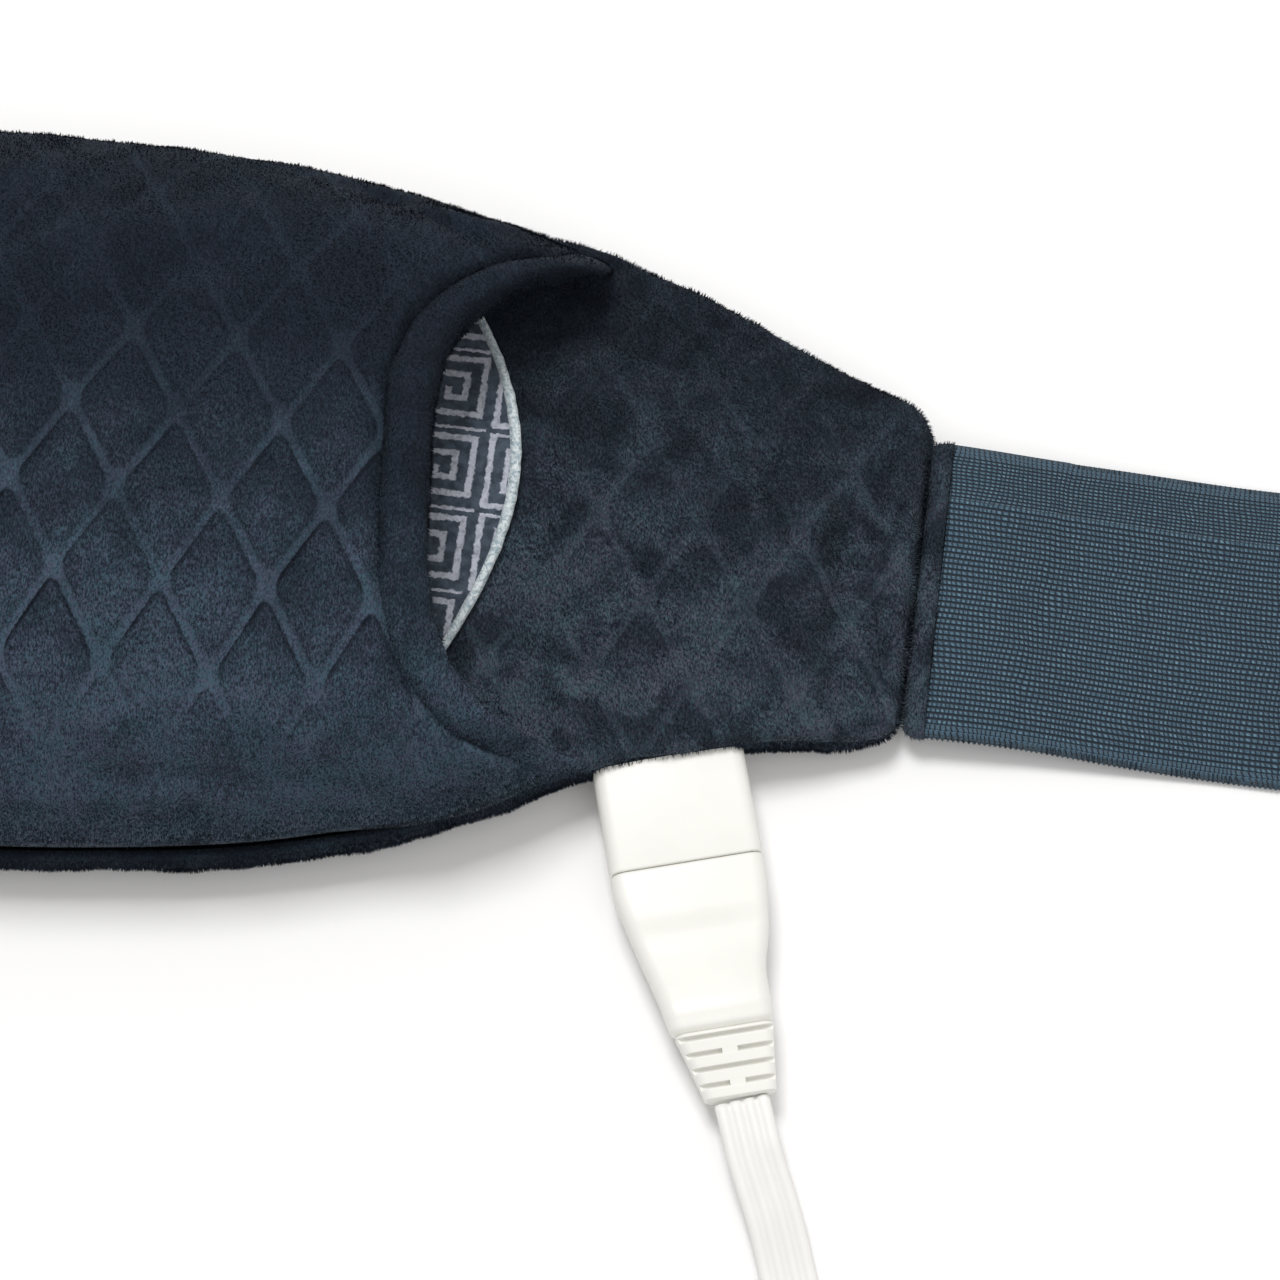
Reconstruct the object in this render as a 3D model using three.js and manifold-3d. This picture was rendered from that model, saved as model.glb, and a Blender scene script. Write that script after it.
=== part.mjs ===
// Heating belt: a plush muff for the hands, worn on two elastic straps, with a plug-in heater lead.
// It is modelled lying face up. +X runs along the belt, +Y up the wearer, +Z out of the belt's front.
// The origin is under the middle of the belt, on the surface that it lies on. Lengths are in mm.
import * as THREE from 'three';
import Module from 'manifold-3d';
import { mergeVertices } from 'three/addons/utils/BufferGeometryUtils.js';

const wasm = await Module();
wasm.setup();

// Fits
const fit = 0.3; // gap between two pieces that touch
const cutOver = 2; // how far a cutting tool runs past what it cuts

// Outline of the belt's body, seen from the front
const bodyHalfLength = 200.5;
const bodyHeight = 154.5;
const topEdgeShares = [
  [0, 1], [0.25, 0.957], [0.46, 0.882], [0.565, 0.815], [0.675, 0.735], [0.775, 0.618],
  [0.88, 0.475], [0.936, 0.418], [0.975, 0.38], [1.04, 0.29],
];
const bottomEdgeShares = [
  [0, 1], [0.155, 1], [0.31, 0.98], [0.4, 0.95], [0.5, 0.895], [0.595, 0.805],
  [0.68, 0.712], [0.83, 0.63], [0.93, 0.597], [1.04, 0.555],
];
const wingLength = 64.5;
const mouthCorner = bodyHalfLength - wingLength; // where a hand opening starts on the long edges
const mouthDepth = 32; // how far the opening curves in from its corners
const mouthSquareness = [2.6, 4]; // powers of that curve in its upper and its lower half
const upperMouthShare = 0.8; // of the upper half's height, over which it curves
const bodyAcrossShares = [0.86, 0.66, 0.44, 0.22, 0];
const bodyAlongShares = [0.93, 0.86, 0.78, 0.68, 0.5, 0.3, 0.1];

// Back half: a shallow tray of plush with the heater and its padding
const seamHeight = 12.5;
const endSeamHeight = 5.6;
const wingThinning = 34.5; // length over which the wings thin towards the straps
const backClothThickness = 2.5;
const sideWall = 3;
const baseEdgeLift = 2.5;
const innerClothThickness = 2.5;
const innerCrown = 4;

// Pocket between the two halves
const floorLiningThickness = 2;
const floorLiningEdgeInset = 14; // from the long edges
const floorLiningReach = 15; // how far it shows beyond the front panel's mouth
const floorLiningSpreadShare = 0.8; // share of the height over which it shows
const floorLiningTiltShare = 0.09; // how far above the middle it shows most
const floorAcrossShares = [0.75, 0.5, 0.25, 0];
const floorAlongShares = [0.8, 0.6, 0.4, 0.2, 0];
const pocketHeight = 24.5; // rise of the pocket's roof above its long edges
const roofSquareness = [2.4, 0.8]; // powers of the roof's arch
const roofLiningThickness = 2;
const rimWidth = 3.2; // solid seam along the front panel's long edges
const rimTaper = 1.6;

// Front half
const frontClothThickness = 3;
const frontPadThickness = 5.5;
const mouthPadThickness = 4;
const frontRimHeight = 5.5;
const frontSquareness = [2.6, 0.72]; // powers of the front's arch
const frontAcrossShares = [0.93, 0.84, 0.72, 0.57, 0.4, 0.2, 0];
const frontAlongShares = [0.86, 0.7, 0.5, 0.25, 0];
const padEdgeEase = 2;
const mouthHemWidth = 10;
const hemGrooveDepth = 1.2;
const hemNoseHeight = 5;
const hemCrestShare = 0.72; // of the hem's width, from its nose
const hemShoulderShare = 0.3;

// Heater
const feltThickness = 0.8;
const feltEndInset = 44.5;
const feltEdgeInset = 18;
const feltAcrossShares = [0.5, 0];
const feltAlongShares = [0.9, 0.78, 0.6, 0.3];
const wireDiameter = 2;
const wireRows = 8;
const wireRowSpacing = 8.5;
const wireEndInset = 70.5;
const wireHalfLength = bodyHalfLength - wireEndInset;
const wireFirstRow = -27;
const sensorThickness = 2;
const sensorWidth = 5.4;
const thermostatLength = 16;
const fuseLength = 11;
const heaterLeadLength = 8;
const heaterLeadWidth = 9;

// Straps
const strapTilt = THREE.MathUtils.degToRad(5.25);
const strapRootY = -11.9; // middle of the strap at the body's end
const strapWidth = 63.5;
const strapThickness = 2;
const strapReach = 320; // from the hinge line at the cuff to the far end
const strapRootHeight = 6.1; // middle of the strap where it leaves the cuff
const strapDrop = 64; // length over which it comes down to the surface
const strapStationShares = [0, 0.12, 0.26, 0.42, 0.58, 0.74, 0.88, 1];
const cuffDepth = 3.4;
const cuffHeight = 6.4;
const cuffNoseHeight = 1.2;
const cuffProfileShares = [[0, 0.8], [0.45, 1], [0.75, 0.65]]; // depth, half height
const hookTabLength = 48;
const hookTabWidth = 52;
const tabCornerRadius = 8;
const bindingLength = 14;
const bindingThickness = 0.9;
const loopPatchLength = 110;
const loopPatchWidth = 50;
const patchThickness = 1.5;

// Connector: a socket sewn into the lower edge of the right wing, and the lead's plug
const socketFromEnd = 49;
const socketX = bodyHalfLength - socketFromEnd;
const socketTurn = THREE.MathUtils.degToRad(11.5);
const connectorWidth = 30.2;
const connectorBottom = 2.8;
const connectorThickness = 9.4;
const connectorCorner = 2.2;
const socketShows = 21.8; // length outside the plush
const socketHidden = 12; // length inside it
const shellWall = 1.6;
const noseLength = 12;
const insertLength = 11;
const pinCount = 4;
const pinSpacing = 4.4;
const pinDiameter = 1.2;
const pinLength = 9.5;
const sleeveWall = 0.5;
const plugLength = 33.2;
const plugEndWidth = 20;
const plugEndShift = 1.35; // the plug's tip lies to the right of its middle
const plugEndThickness = 8;
const reliefLength = 13;
const plugTaperShares = [[0, 0], [0.25, 0.14], [0.5, 0.42], [0.75, 0.75], [0.95, 0.97]]; // length, taper
const reliefStartWidth = 19.4;
const reliefEndWidth = 14;
const reliefShift = 2.6;
const reliefDrop = 1;
const reliefThickness = 6.2;
const reliefEndThickness = 4.6;
const slotWidth = 1.3;
const slotDepth = 1.1;
const slotRows = 4;
const slotReachShare = 0.68; // of the relief's width

// Flat four-core cord
const flatCordWidth = 10.8;
const flatCordThickness = 2.7;
const flatCoilRadius = 68;
const flatCoilPitch = 16;
const flatCoilClimb = THREE.MathUtils.degToRad(100);
const flatCoilFrom = THREE.MathUtils.degToRad(15);
const flatCoilTurn = THREE.MathUtils.degToRad(825);
const flatCoilPlace = [-20.5, -196.6]; // from the socket, where the cloth's edge crosses it
const flatCordLean = THREE.MathUtils.degToRad(3.5); // the cord's own turn where it leaves the plug
const flatRunPoints = [[23.3, -89.6, 3.8], [26.3, -100.6, 2.2], [33.9, -129.6, 1.9]]; // from the socket too
const flatTailX = -43; // from the middle of the coil
const flatTailEndX = -65;
const flatTailZ = 2.2;
const flatTailEndZ = 2.6;
const coilLift = 1.1; // the ties pass under the coils
const layerGap = 0.5;
const tieThickness = 0.8;
const tieWidth = 8;
const loopSteps = 24;

// Mains cord
const mainsCordDiameter = 5.6;
const mainsCoilRadius = 46.5;
const mainsCoilTurn = THREE.MathUtils.degToRad(2610);
const mainsCoilX = -150; // from the middle of the controller
const mainsRunX = 34; // from the middle of the coil
const mainsRunZ = 4.6;
const mainsTailY = 47.5;
const mainsTailZ = 5.2;

// Hand controller
const controllerLength = 118;
const controllerWidth = 46;
const controllerHeight = 20;
const controllerSplit = 9;
const controllerX = -193; // from the middle of the flat cord's coil
const controllerWall = 2.2;
const controllerCorner = 13;
const controllerBevel = 1.6;
const boardThickness = 1.6;
const boardMargin = 1.2;
const bossDiameter = 9;
const upperBossDiameter = 6;
const bossInset = 14; // from the controller's ends to its screws
const bossSideInset = 9.5; // from its long sides
const screwHeadDiameter = 5;
const screwShankDiameter = 2.6;
const screwHeadHeight = 1.8;
const screwRecess = 3;
const screwLength = 12;
const buttonDiameter = 10;
const buttonSpacing = 15;
const buttonPitchStart = 10; // from the controller's middle to the first button
const buttonProud = 1;
const buttonFlange = 1;
const buttonFlangeThickness = 1.2;
const buttonTravel = 1.2;
const stemDiameter = 4;
const switchSize = 6;
const windowLength = 34;
const windowWidth = 20;
const windowThickness = 1;
const windowLedge = 2;
const windowCentre = -25;
const controllerReliefLength = 26;
const reliefCollar = 1.4;

// Mains plug
const mainsPlugLength = 32;
const mainsPlugWidth = 25;
const mainsPlugThickness = 17;
const mainsPlugReliefLength = 24;
const mainsPlugY = 73.5; // from the middle of the coil
const mainsPlugShares = [[0.25, 0.82, 0.86], [0.6, 0.92, 0.94]]; // length, width, thickness
const bladeSpacing = 12.7;
const bladeLength = 17.5;
const bladeHeight = 6.3;
const bladeThickness = 1.5;

// Finishes
const finish = (color, roughness, metalness = 0) =>
  new THREE.MeshStandardMaterial({ color, roughness, metalness });
const plush = finish('#2f3f50', 0.95);
const darkPlush = finish('#243240', 0.95);
const batting = finish('#d9dcdd', 1);
const printedPlush = finish('#4a545c', 0.95);
const felt = finish('#c9c7c0', 1);
const elastic = finish('#33566a', 0.85);
const hookTape = finish('#1d2730', 0.9);
const ivoryPlastic = finish('#e9e8e4', 0.35);
const whiteCord = finish('#ecebe8', 0.45);
const greyPlastic = finish('#b9bdbf', 0.5);
const darkPlastic = finish('#23272b', 0.3);
const boardGreen = finish('#1f5a3a', 0.6);
const copper = finish('#b87333', 0.35, 1);
const nickel = finish('#c7c8c6', 0.3, 1);
const tieStrap = finish('#2b2f33', 0.8);

const belt = new THREE.Group();

function piece(name, geometry, material, parent = belt) {
  const mesh = new THREE.Mesh(geometry, material);
  mesh.name = name;
  parent.add(mesh);
  return mesh;
}

// Closed solids

function solidGeometry(points, triangles) {
  const geometry = new THREE.BufferGeometry().setFromPoints(points);
  geometry.setIndex(triangles);
  geometry.computeVertexNormals();
  return geometry;
}

// Rings of equal point counts, each turning right-handed about the way the solid runs.
function loft(rings) {
  const count = rings[0].length;
  const triangles = [];
  for (let ring = 0; ring < rings.length - 1; ring += 1) {
    for (let i = 0; i < count; i += 1) {
      const a = ring * count + i;
      const b = ring * count + ((i + 1) % count);
      triangles.push(a, b, b + count, a, b + count, a + count);
    }
  }
  const last = (rings.length - 1) * count;
  for (let i = 1; i < count - 1; i += 1) {
    triangles.push(0, i + 1, i, last, last + i, last + i + 1);
  }
  return solidGeometry(rings.flat(), triangles);
}

// A box section with cut corners, standing across the X axis.
function boxRing({ at, width, thickness, corner, shift = 0, lift = 0 }) {
  const w = width / 2;
  const h = thickness / 2;
  const c = Math.min(corner, w / 2, h * 0.8);
  const soft = c * (1 - Math.SQRT1_2);
  const quarter = [[w, h - c], [w - soft, h - soft], [w - c, h]];
  const half = [...quarter, ...quarter.map(([y, z]) => [-y, z]).reverse()];
  const all = [...half, ...half.map(([y, z]) => [-y, -z])];
  return all.map(([y, z]) => new THREE.Vector3(at, y + shift, z + lift));
}

// A body between two height functions over a grid of lines. A line is a share of the reach and an inset
// from its edge, so that edges, seams and walls keep their own widths wherever the outline goes.
function slab(alongLines, acrossLines, reach, top, bottom) {
  const columns = acrossLines.length;
  const rows = alongLines.length;
  const points = [];
  [top, bottom].forEach((height) => {
    alongLines.forEach((along) => {
      acrossLines.forEach((across) => {
        const tilt = across.share * (1 - across.inset / (bodyHeight / 2));
        const x = along.share * (reach(tilt, Math.sign(along.share)) - along.inset);
        const y = centreY(x) + across.share * (halfY(x) - across.inset);
        points.push(new THREE.Vector3(x, y, height(x, y, along, across)));
      });
    });
  });
  const upper = (i, j) => i * columns + j;
  const lower = (i, j) => (rows + i) * columns + j;
  const triangles = [];
  const quad = (a, b, c, d) => triangles.push(a, b, c, a, c, d);
  for (let i = 0; i < rows - 1; i += 1) {
    for (let j = 0; j < columns - 1; j += 1) {
      quad(upper(i, j), upper(i + 1, j), upper(i + 1, j + 1), upper(i, j + 1));
      quad(lower(i, j), lower(i, j + 1), lower(i + 1, j + 1), lower(i + 1, j));
    }
  }
  for (let j = 0; j < columns - 1; j += 1) {
    quad(upper(0, j), upper(0, j + 1), lower(0, j + 1), lower(0, j));
    quad(upper(rows - 1, j + 1), upper(rows - 1, j), lower(rows - 1, j), lower(rows - 1, j + 1));
  }
  for (let i = 0; i < rows - 1; i += 1) {
    quad(upper(i + 1, 0), upper(i, 0), lower(i, 0), lower(i + 1, 0));
    quad(upper(i, columns - 1), upper(i + 1, columns - 1), lower(i + 1, columns - 1), lower(i, columns - 1));
  }
  return solidGeometry(points, triangles);
}

// Lines from one edge to the other: the edge lines of one side, then shares of what lies between them.
function mirroredLines(edgeInsets, innerShares) {
  const innermost = edgeInsets[edgeInsets.length - 1];
  const edge = edgeInsets.map((inset) => ({ share: 1, inset }));
  const inner = innerShares.filter((share) => share > 0).map((share) => ({ share, inset: innermost }));
  const positive = [...edge, ...inner];
  const negative = positive.map(({ share, inset }) => ({ share: -share, inset }));
  const middle = innerShares.includes(0) ? [{ share: 0, inset: innermost }] : [];
  return [...negative, ...middle, ...positive.reverse()];
}

const asSolid = (geometry) => {
  const bare = geometry.clone();
  bare.deleteAttribute('normal');
  bare.deleteAttribute('uv');
  const merged = mergeVertices(bare, 1e-4);
  return new wasm.Manifold(new wasm.Mesh({
    numProp: 3,
    vertProperties: new Float32Array(merged.attributes.position.array),
    triVerts: new Uint32Array(merged.index.array),
  }));
};

const asGeometry = (solid) => {
  const mesh = solid.getMesh();
  const geometry = new THREE.BufferGeometry();
  geometry.setAttribute('position', new THREE.BufferAttribute(mesh.vertProperties, 3));
  geometry.setIndex(new THREE.BufferAttribute(mesh.triVerts, 1));
  return geometry;
};

const cut = (geometry, ...tools) =>
  asGeometry(tools.reduce((solid, tool) => solid.subtract(asSolid(tool)), asSolid(geometry)));
const fuse = (geometry, ...others) =>
  asGeometry(others.reduce((solid, other) => solid.add(asSolid(other)), asSolid(geometry)));
const common = (geometry, other) => asGeometry(asSolid(geometry).intersect(asSolid(other)));

const box = (x0, x1, y0, y1, z0, z1) =>
  new THREE.BoxGeometry(x1 - x0, y1 - y0, z1 - z0)
    .translate((x0 + x1) / 2, (y0 + y1) / 2, (z0 + z1) / 2);

const upright = (diameter, z0, z1, x = 0, y = 0, sides = 12) =>
  new THREE.CylinderGeometry(diameter / 2, diameter / 2, z1 - z0, sides)
    .rotateX(Math.PI / 2)
    .translate(x, y, (z0 + z1) / 2);

const lengthwise = (diameter, x0, x1, y, z, sides = 8) =>
  new THREE.CylinderGeometry(diameter / 2, diameter / 2, x1 - x0, sides)
    .rotateZ(Math.PI / 2)
    .translate((x0 + x1) / 2, y, z);

function roundedPlate(length, width, corner, depth, bevel = 0) {
  const a = length / 2 - bevel;
  const b = width / 2 - bevel;
  const r = corner - bevel;
  const outline = new THREE.Shape();
  outline.moveTo(r - a, -b);
  outline.lineTo(a - r, -b);
  outline.absarc(a - r, r - b, r, -Math.PI / 2, 0);
  outline.absarc(a - r, b - r, r, 0, Math.PI / 2);
  outline.absarc(r - a, b - r, r, Math.PI / 2, Math.PI);
  outline.absarc(r - a, r - b, r, Math.PI, Math.PI * 1.5);
  return new THREE.ExtrudeGeometry(outline, {
    depth: depth - 2 * bevel,
    curveSegments: 5,
    bevelEnabled: bevel > 0,
    bevelThickness: bevel,
    bevelSize: bevel,
    bevelSegments: 2,
  }).translate(0, 0, bevel);
}

// Outline and heights of the belt's body

function curveThrough(shares, along, across) {
  const xs = shares.map(([x]) => x * along);
  const ys = shares.map(([, y]) => y * across);
  const last = xs.length - 1;
  const slopeAt = (i) => {
    if (i === 0) return 0;
    const next = Math.min(i + 1, last);
    return (ys[next] - ys[i - 1]) / (xs[next] - xs[i - 1]);
  };
  return (x) => {
    const i = THREE.MathUtils.clamp(xs.findIndex((value) => value > x) - 1, 0, last - 1);
    const start = x >= xs[last] ? last - 1 : i;
    const span = xs[start + 1] - xs[start];
    const u = (x - xs[start]) / span;
    const rise = ys[start + 1] - ys[start];
    const a = slopeAt(start) * span - rise;
    const b = rise - slopeAt(start + 1) * span;
    return ys[start] + u * rise + u * (1 - u) * (a * (1 - u) + b * u);
  };
}

const topEdge = curveThrough(topEdgeShares, bodyHalfLength, bodyHeight / 2);
const bottomEdge = curveThrough(bottomEdgeShares, bodyHalfLength, bodyHeight / 2);
const centreY = (x) => (topEdge(Math.abs(x)) - bottomEdge(Math.abs(x))) / 2;
const halfY = (x) => (topEdge(Math.abs(x)) + bottomEdge(Math.abs(x))) / 2;
const acrossShare = (x, y) => (y - centreY(x)) / halfY(x);
const endLean = halfY(bodyHalfLength) * Math.tan(strapTilt);
const endReach = (tilt) => bodyHalfLength + tilt * endLean;
const mouthReach = (tilt) => {
  const turn = tilt > 0
    ? Math.min(1, tilt / upperMouthShare) ** mouthSquareness[0]
    : Math.abs(tilt) ** mouthSquareness[1];
  return mouthCorner - mouthDepth * (1 - turn);
};

const wingShare = (x) =>
  THREE.MathUtils.smoothstep(Math.abs(x), bodyHalfLength - wingThinning, bodyHalfLength);
const seamZ = (x) => THREE.MathUtils.lerp(seamHeight, endSeamHeight, wingShare(x));
const crownZ = (x, y) => innerCrown * (seamZ(x) / seamHeight) * Math.max(0, 1 - acrossShare(x, y) ** 2);
const innerTop = (x, y) => seamZ(x) + fit + innerClothThickness + crownZ(x, y);

const rimInset = rimWidth + rimTaper;
const rimShare = 1 - rimInset / (bodyHeight / 2);
const roofBase = (x) => seamZ(x) + 2 * fit + innerClothThickness + innerCrown * (1 - rimShare ** 2);
const roofZ = (x, y) => {
  const share = Math.min(1, Math.abs(acrossShare(x, y)) / rimShare);
  return roofBase(x) + pocketHeight * (1 - share ** roofSquareness[0]) ** roofSquareness[1];
};
const padZ = (x) => THREE.MathUtils.lerp(frontPadThickness, mouthPadThickness, (x / mouthCorner) ** 2);
const frontRimTop = (x) => seamZ(x) + 2 * fit + innerClothThickness + frontRimHeight;
const frontMiddle = (x) =>
  roofBase(x) + pocketHeight + roofLiningThickness + padZ(x) + frontClothThickness + 2 * fit;
const frontTop = (x, y) => {
  const share = Math.min(1, Math.abs(acrossShare(x, y)));
  const arch = (1 - share ** frontSquareness[0]) ** frontSquareness[1];
  return THREE.MathUtils.lerp(frontRimTop(x), frontMiddle(x), arch);
};

// Back half

const wallInset = sideWall + fit * 2;
const bodyAcross = mirroredLines([0, sideWall, wallInset], bodyAcrossShares);
const bodyAlong = mirroredLines([0, sideWall, wallInset], bodyAlongShares);
const atEdge = (line) => Math.abs(line.share) === 1 && line.inset === 0;
const onWall = (line) => Math.abs(line.share) === 1 && line.inset <= sideWall;
const insideWall = (line) => !onWall(line);

const socketPlace = new THREE.Group();
socketPlace.position.set(socketX, -bottomEdge(socketX), 0);
socketPlace.rotation.z = -Math.PI / 2 + socketTurn;
belt.add(socketPlace);
socketPlace.updateMatrix();
const atSocket = (v, u, z) => new THREE.Vector3(v, u, z).applyMatrix4(socketPlace.matrix);
const socketBay = box(
  -socketHidden - fit, cutOver * sideWall,
  -connectorWidth / 2 - fit, connectorWidth / 2 + fit,
  connectorBottom - fit, connectorBottom + connectorThickness + cutOver,
).applyMatrix4(socketPlace.matrix);

const trayTop = (x, y, along, across) =>
  (onWall(along) || onWall(across) ? seamZ(x) : backClothThickness);
const trayBottom = (x, y, along, across) => (atEdge(along) || atEdge(across) ? baseEdgeLift : 0);
piece('back_cover', cut(slab(bodyAlong, bodyAcross, endReach, trayTop, trayBottom), socketBay), darkPlush);

const innerBottom = (x, y, along, across) =>
  (onWall(along) || onWall(across) ? seamZ(x) + fit : innerTop(x, y) - innerClothThickness);
const innerPanelTop = (x, y, along, across) =>
  (atEdge(along) || atEdge(across) ? seamZ(x) + fit + innerClothThickness : innerTop(x, y));
piece('inner_panel', slab(bodyAlong, bodyAcross, endReach, innerPanelTop, innerBottom), plush);

// Heater, lying on the tray's floor
const lowerFeltZ = backClothThickness + fit;
const wireZ = lowerFeltZ + feltThickness + fit;
const upperFeltZ = wireZ + wireDiameter + fit;
const padBottom = upperFeltZ + feltThickness + fit;
const feltAcross = mirroredLines([feltEdgeInset], feltAcrossShares);
const feltAlong = mirroredLines([0], feltAlongShares);
const feltReach = () => bodyHalfLength - feltEndInset;
const level = (height) => () => height;
piece('heater_felt_lower', slab(feltAlong, feltAcross, feltReach,
  level(lowerFeltZ + feltThickness), level(lowerFeltZ)), felt);
piece('heater_felt_upper', slab(feltAlong, feltAcross, feltReach,
  level(upperFeltZ + feltThickness), level(upperFeltZ)), felt);

const backPadAcross = bodyAcross.filter(insideWall);
const backPadAlong = bodyAlong.filter((line) => Math.abs(line.share) < 1);
const backPadTop = (x, y, along, across) => {
  const ease = Math.abs(along.share) === 1 || Math.abs(across.share) === 1 ? fit : 0;
  return Math.max(padBottom + fit, innerTop(x, y) - innerClothThickness - fit - ease);
};
piece('back_padding', cut(slab(backPadAlong, backPadAcross, endReach, backPadTop, level(padBottom)),
  socketBay), batting);

// A round or flat tube along points, upright all the way.
function ringAlong(points, index, section) {
  const from = points[Math.max(index - 1, 0)];
  const to = points[Math.min(index + 1, points.length - 1)];
  const way = to.clone().sub(from).normalize();
  const side = new THREE.Vector3(0, 0, 1).cross(way).normalize();
  const up = way.clone().cross(side);
  return section.map(([a, b]) => points[index].clone().addScaledVector(side, a).addScaledVector(up, b));
}
const tube = (points, section) => loft(points.map((_, index) => ringAlong(points, index, section)));
const roundSection = (diameter, sides) => {
  const corner = diameter / 2;
  return Array.from({ length: sides }, (_, i) => {
    const angle = ((i + 0.5) / sides) * Math.PI * 2;
    return [Math.cos(angle) * corner, Math.sin(angle) * corner];
  });
};

// The wire's rows run along the belt and turn in half circles. Both ends come back to the socket.
function wirePoints() {
  const z = wireZ + wireDiameter / 2;
  const turn = wireRowSpacing / 2;
  const lead = socketHidden + heaterLeadLength + 2 * fit;
  const core = heaterLeadWidth / 4;
  const points = [atSocket(-lead, -core, z), atSocket(-lead - wireDiameter, -core, z)];
  const arc = (x, y, radius, from, sweep, steps) => {
    for (let i = 1; i <= steps; i += 1) {
      const angle = from + (sweep * i) / steps;
      points.push(new THREE.Vector3(x + radius * Math.cos(angle), y + radius * Math.sin(angle), z));
    }
  };
  points.push(new THREE.Vector3(wireHalfLength + turn, wireFirstRow, z));
  points.push(new THREE.Vector3(wireHalfLength, wireFirstRow, z));
  for (let row = 0; row < wireRows; row += 1) {
    const y = wireFirstRow + row * wireRowSpacing;
    const way = row % 2 === 0 ? -1 : 1;
    points.push(new THREE.Vector3(way * wireHalfLength, y, z));
    if (row < wireRows - 1) arc(way * wireHalfLength, y + turn, turn, -Math.PI / 2, way * Math.PI, 6);
  }
  const lastRow = wireFirstRow + (wireRows - 1) * wireRowSpacing;
  arc(wireHalfLength, lastRow - 2 * turn, 2 * turn, Math.PI / 2, -Math.PI / 2, 4);
  points.push(atSocket(-lead - 2 * wireDiameter, core, z), atSocket(-lead, core, z));
  return points;
}
piece('heating_wire', tube(wirePoints(), roundSection(wireDiameter, 6)), copper);

// Flat sensors between the wire's rows
const rowGap = (row) => wireFirstRow + (row + 0.5) * wireRowSpacing;
const sensor = (length, x, row) =>
  roundedPlate(length, sensorWidth, sensorWidth / 3, sensorThickness).translate(x, rowGap(row), wireZ);
piece('thermostat', sensor(thermostatLength, 0, wireRows / 2 - 1), nickel);
piece('thermal_fuse', sensor(fuseLength, wireHalfLength / 2, wireRows / 2 - 1), nickel);

// Pocket linings
const floorReach = (tilt) => mouthReach(0)
  + floorLiningReach * (1 - ((tilt - floorLiningTiltShare) / floorLiningSpreadShare) ** 2);
const floorAcross = mirroredLines([floorLiningEdgeInset], floorAcrossShares);
const floorAlong = mirroredLines([0], floorAlongShares);
piece('pocket_floor_lining', slab(floorAlong, floorAcross, floorReach,
  (x, y) => innerTop(x, y) + fit + floorLiningThickness, (x, y) => innerTop(x, y) + fit), printedPlush);

// Front half. Its three layers stop at the groove of the mouth hems.
const frontAcross = mirroredLines([0, rimWidth, rimInset], frontAcrossShares);
const frontAlong = mirroredLines([mouthHemWidth], frontAlongShares);
const padAcross = frontAcross.filter((line) => line.inset > rimWidth);
const onRim = (line) => Math.abs(line.share) === 1 && line.inset <= rimWidth;
const atPadEdge = (line) => Math.abs(line.share) === 1;
const hemGroove = (along) => (Math.abs(along.share) === 1 ? hemGrooveDepth : 0);
const rimBottom = (x, y) => innerTop(x, y) + fit;
const coverBottom = (x, y) => frontTop(x, y) - frontClothThickness;
piece('front_cover', slab(frontAlong, frontAcross, mouthReach,
  (x, y, along) => frontTop(x, y) - hemGroove(along),
  (x, y, along, across) => (onRim(across) ? rimBottom(x, y) : coverBottom(x, y) - hemGroove(along))), plush);
const padTop = (x, y, along, across) =>
  coverBottom(x, y) - fit - hemGroove(along) - (atPadEdge(across) ? padEdgeEase : 0);
piece('front_padding', slab(frontAlong, padAcross, mouthReach, padTop,
  (x, y) => roofZ(x, y) + roofLiningThickness + fit), batting);
piece('pocket_roof_lining', slab(frontAlong, padAcross, mouthReach,
  (x, y) => roofZ(x, y) + roofLiningThickness, roofZ), plush);

const hemLines = [
  { inset: mouthHemWidth - fit, drop: hemGrooveDepth },
  { inset: mouthHemWidth * hemCrestShare, drop: 0 },
  { inset: mouthHemWidth * hemShoulderShare, drop: hemGrooveDepth },
  { inset: 0, nose: true },
];
function mouthHem(side) {
  const lines = hemLines.map((line) => ({ ...line, share: side }));
  const hemBottom = (x, y, along, across) => (onRim(across) ? rimBottom(x, y) : roofZ(x, y));
  const hemTop = (x, y, along, across) =>
    (along.nose ? hemBottom(x, y, along, across) + hemNoseHeight : frontTop(x, y) - along.drop);
  return slab(side > 0 ? lines : lines.reverse(), frontAcross, mouthReach, hemTop, hemBottom);
}
piece('right_mouth_hem', mouthHem(1), plush);
piece('left_mouth_hem', mouthHem(-1), plush);

// Straps, each with its cuff, in a frame that starts in the middle of the body's end
const hingeReach = 2 * fit + cuffDepth + fit + strapThickness / 2;
const crosswise = (outline, width) =>
  new THREE.ExtrudeGeometry(outline, { depth: width, bevelEnabled: false })
    .rotateX(Math.PI / 2)
    .translate(0, width / 2, 0);

function cuffGeometry() {
  const nose = cuffNoseHeight / 2;
  const half = cuffHeight / 2;
  const side = (way) => [
    ...cuffProfileShares.map(([depth, rise]) => [2 * fit + depth * cuffDepth, way * rise * half]),
    [2 * fit + cuffDepth, way * nose],
  ];
  const outline = new THREE.Shape([...side(-1), ...side(1).reverse()]
    .map(([x, z]) => new THREE.Vector2(x, z + strapRootHeight)));
  return crosswise(outline, strapWidth);
}

const strapMiddle = (u) =>
  THREE.MathUtils.lerp(strapRootHeight, strapThickness / 2, THREE.MathUtils.smoothstep(u, 0, strapDrop));

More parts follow.
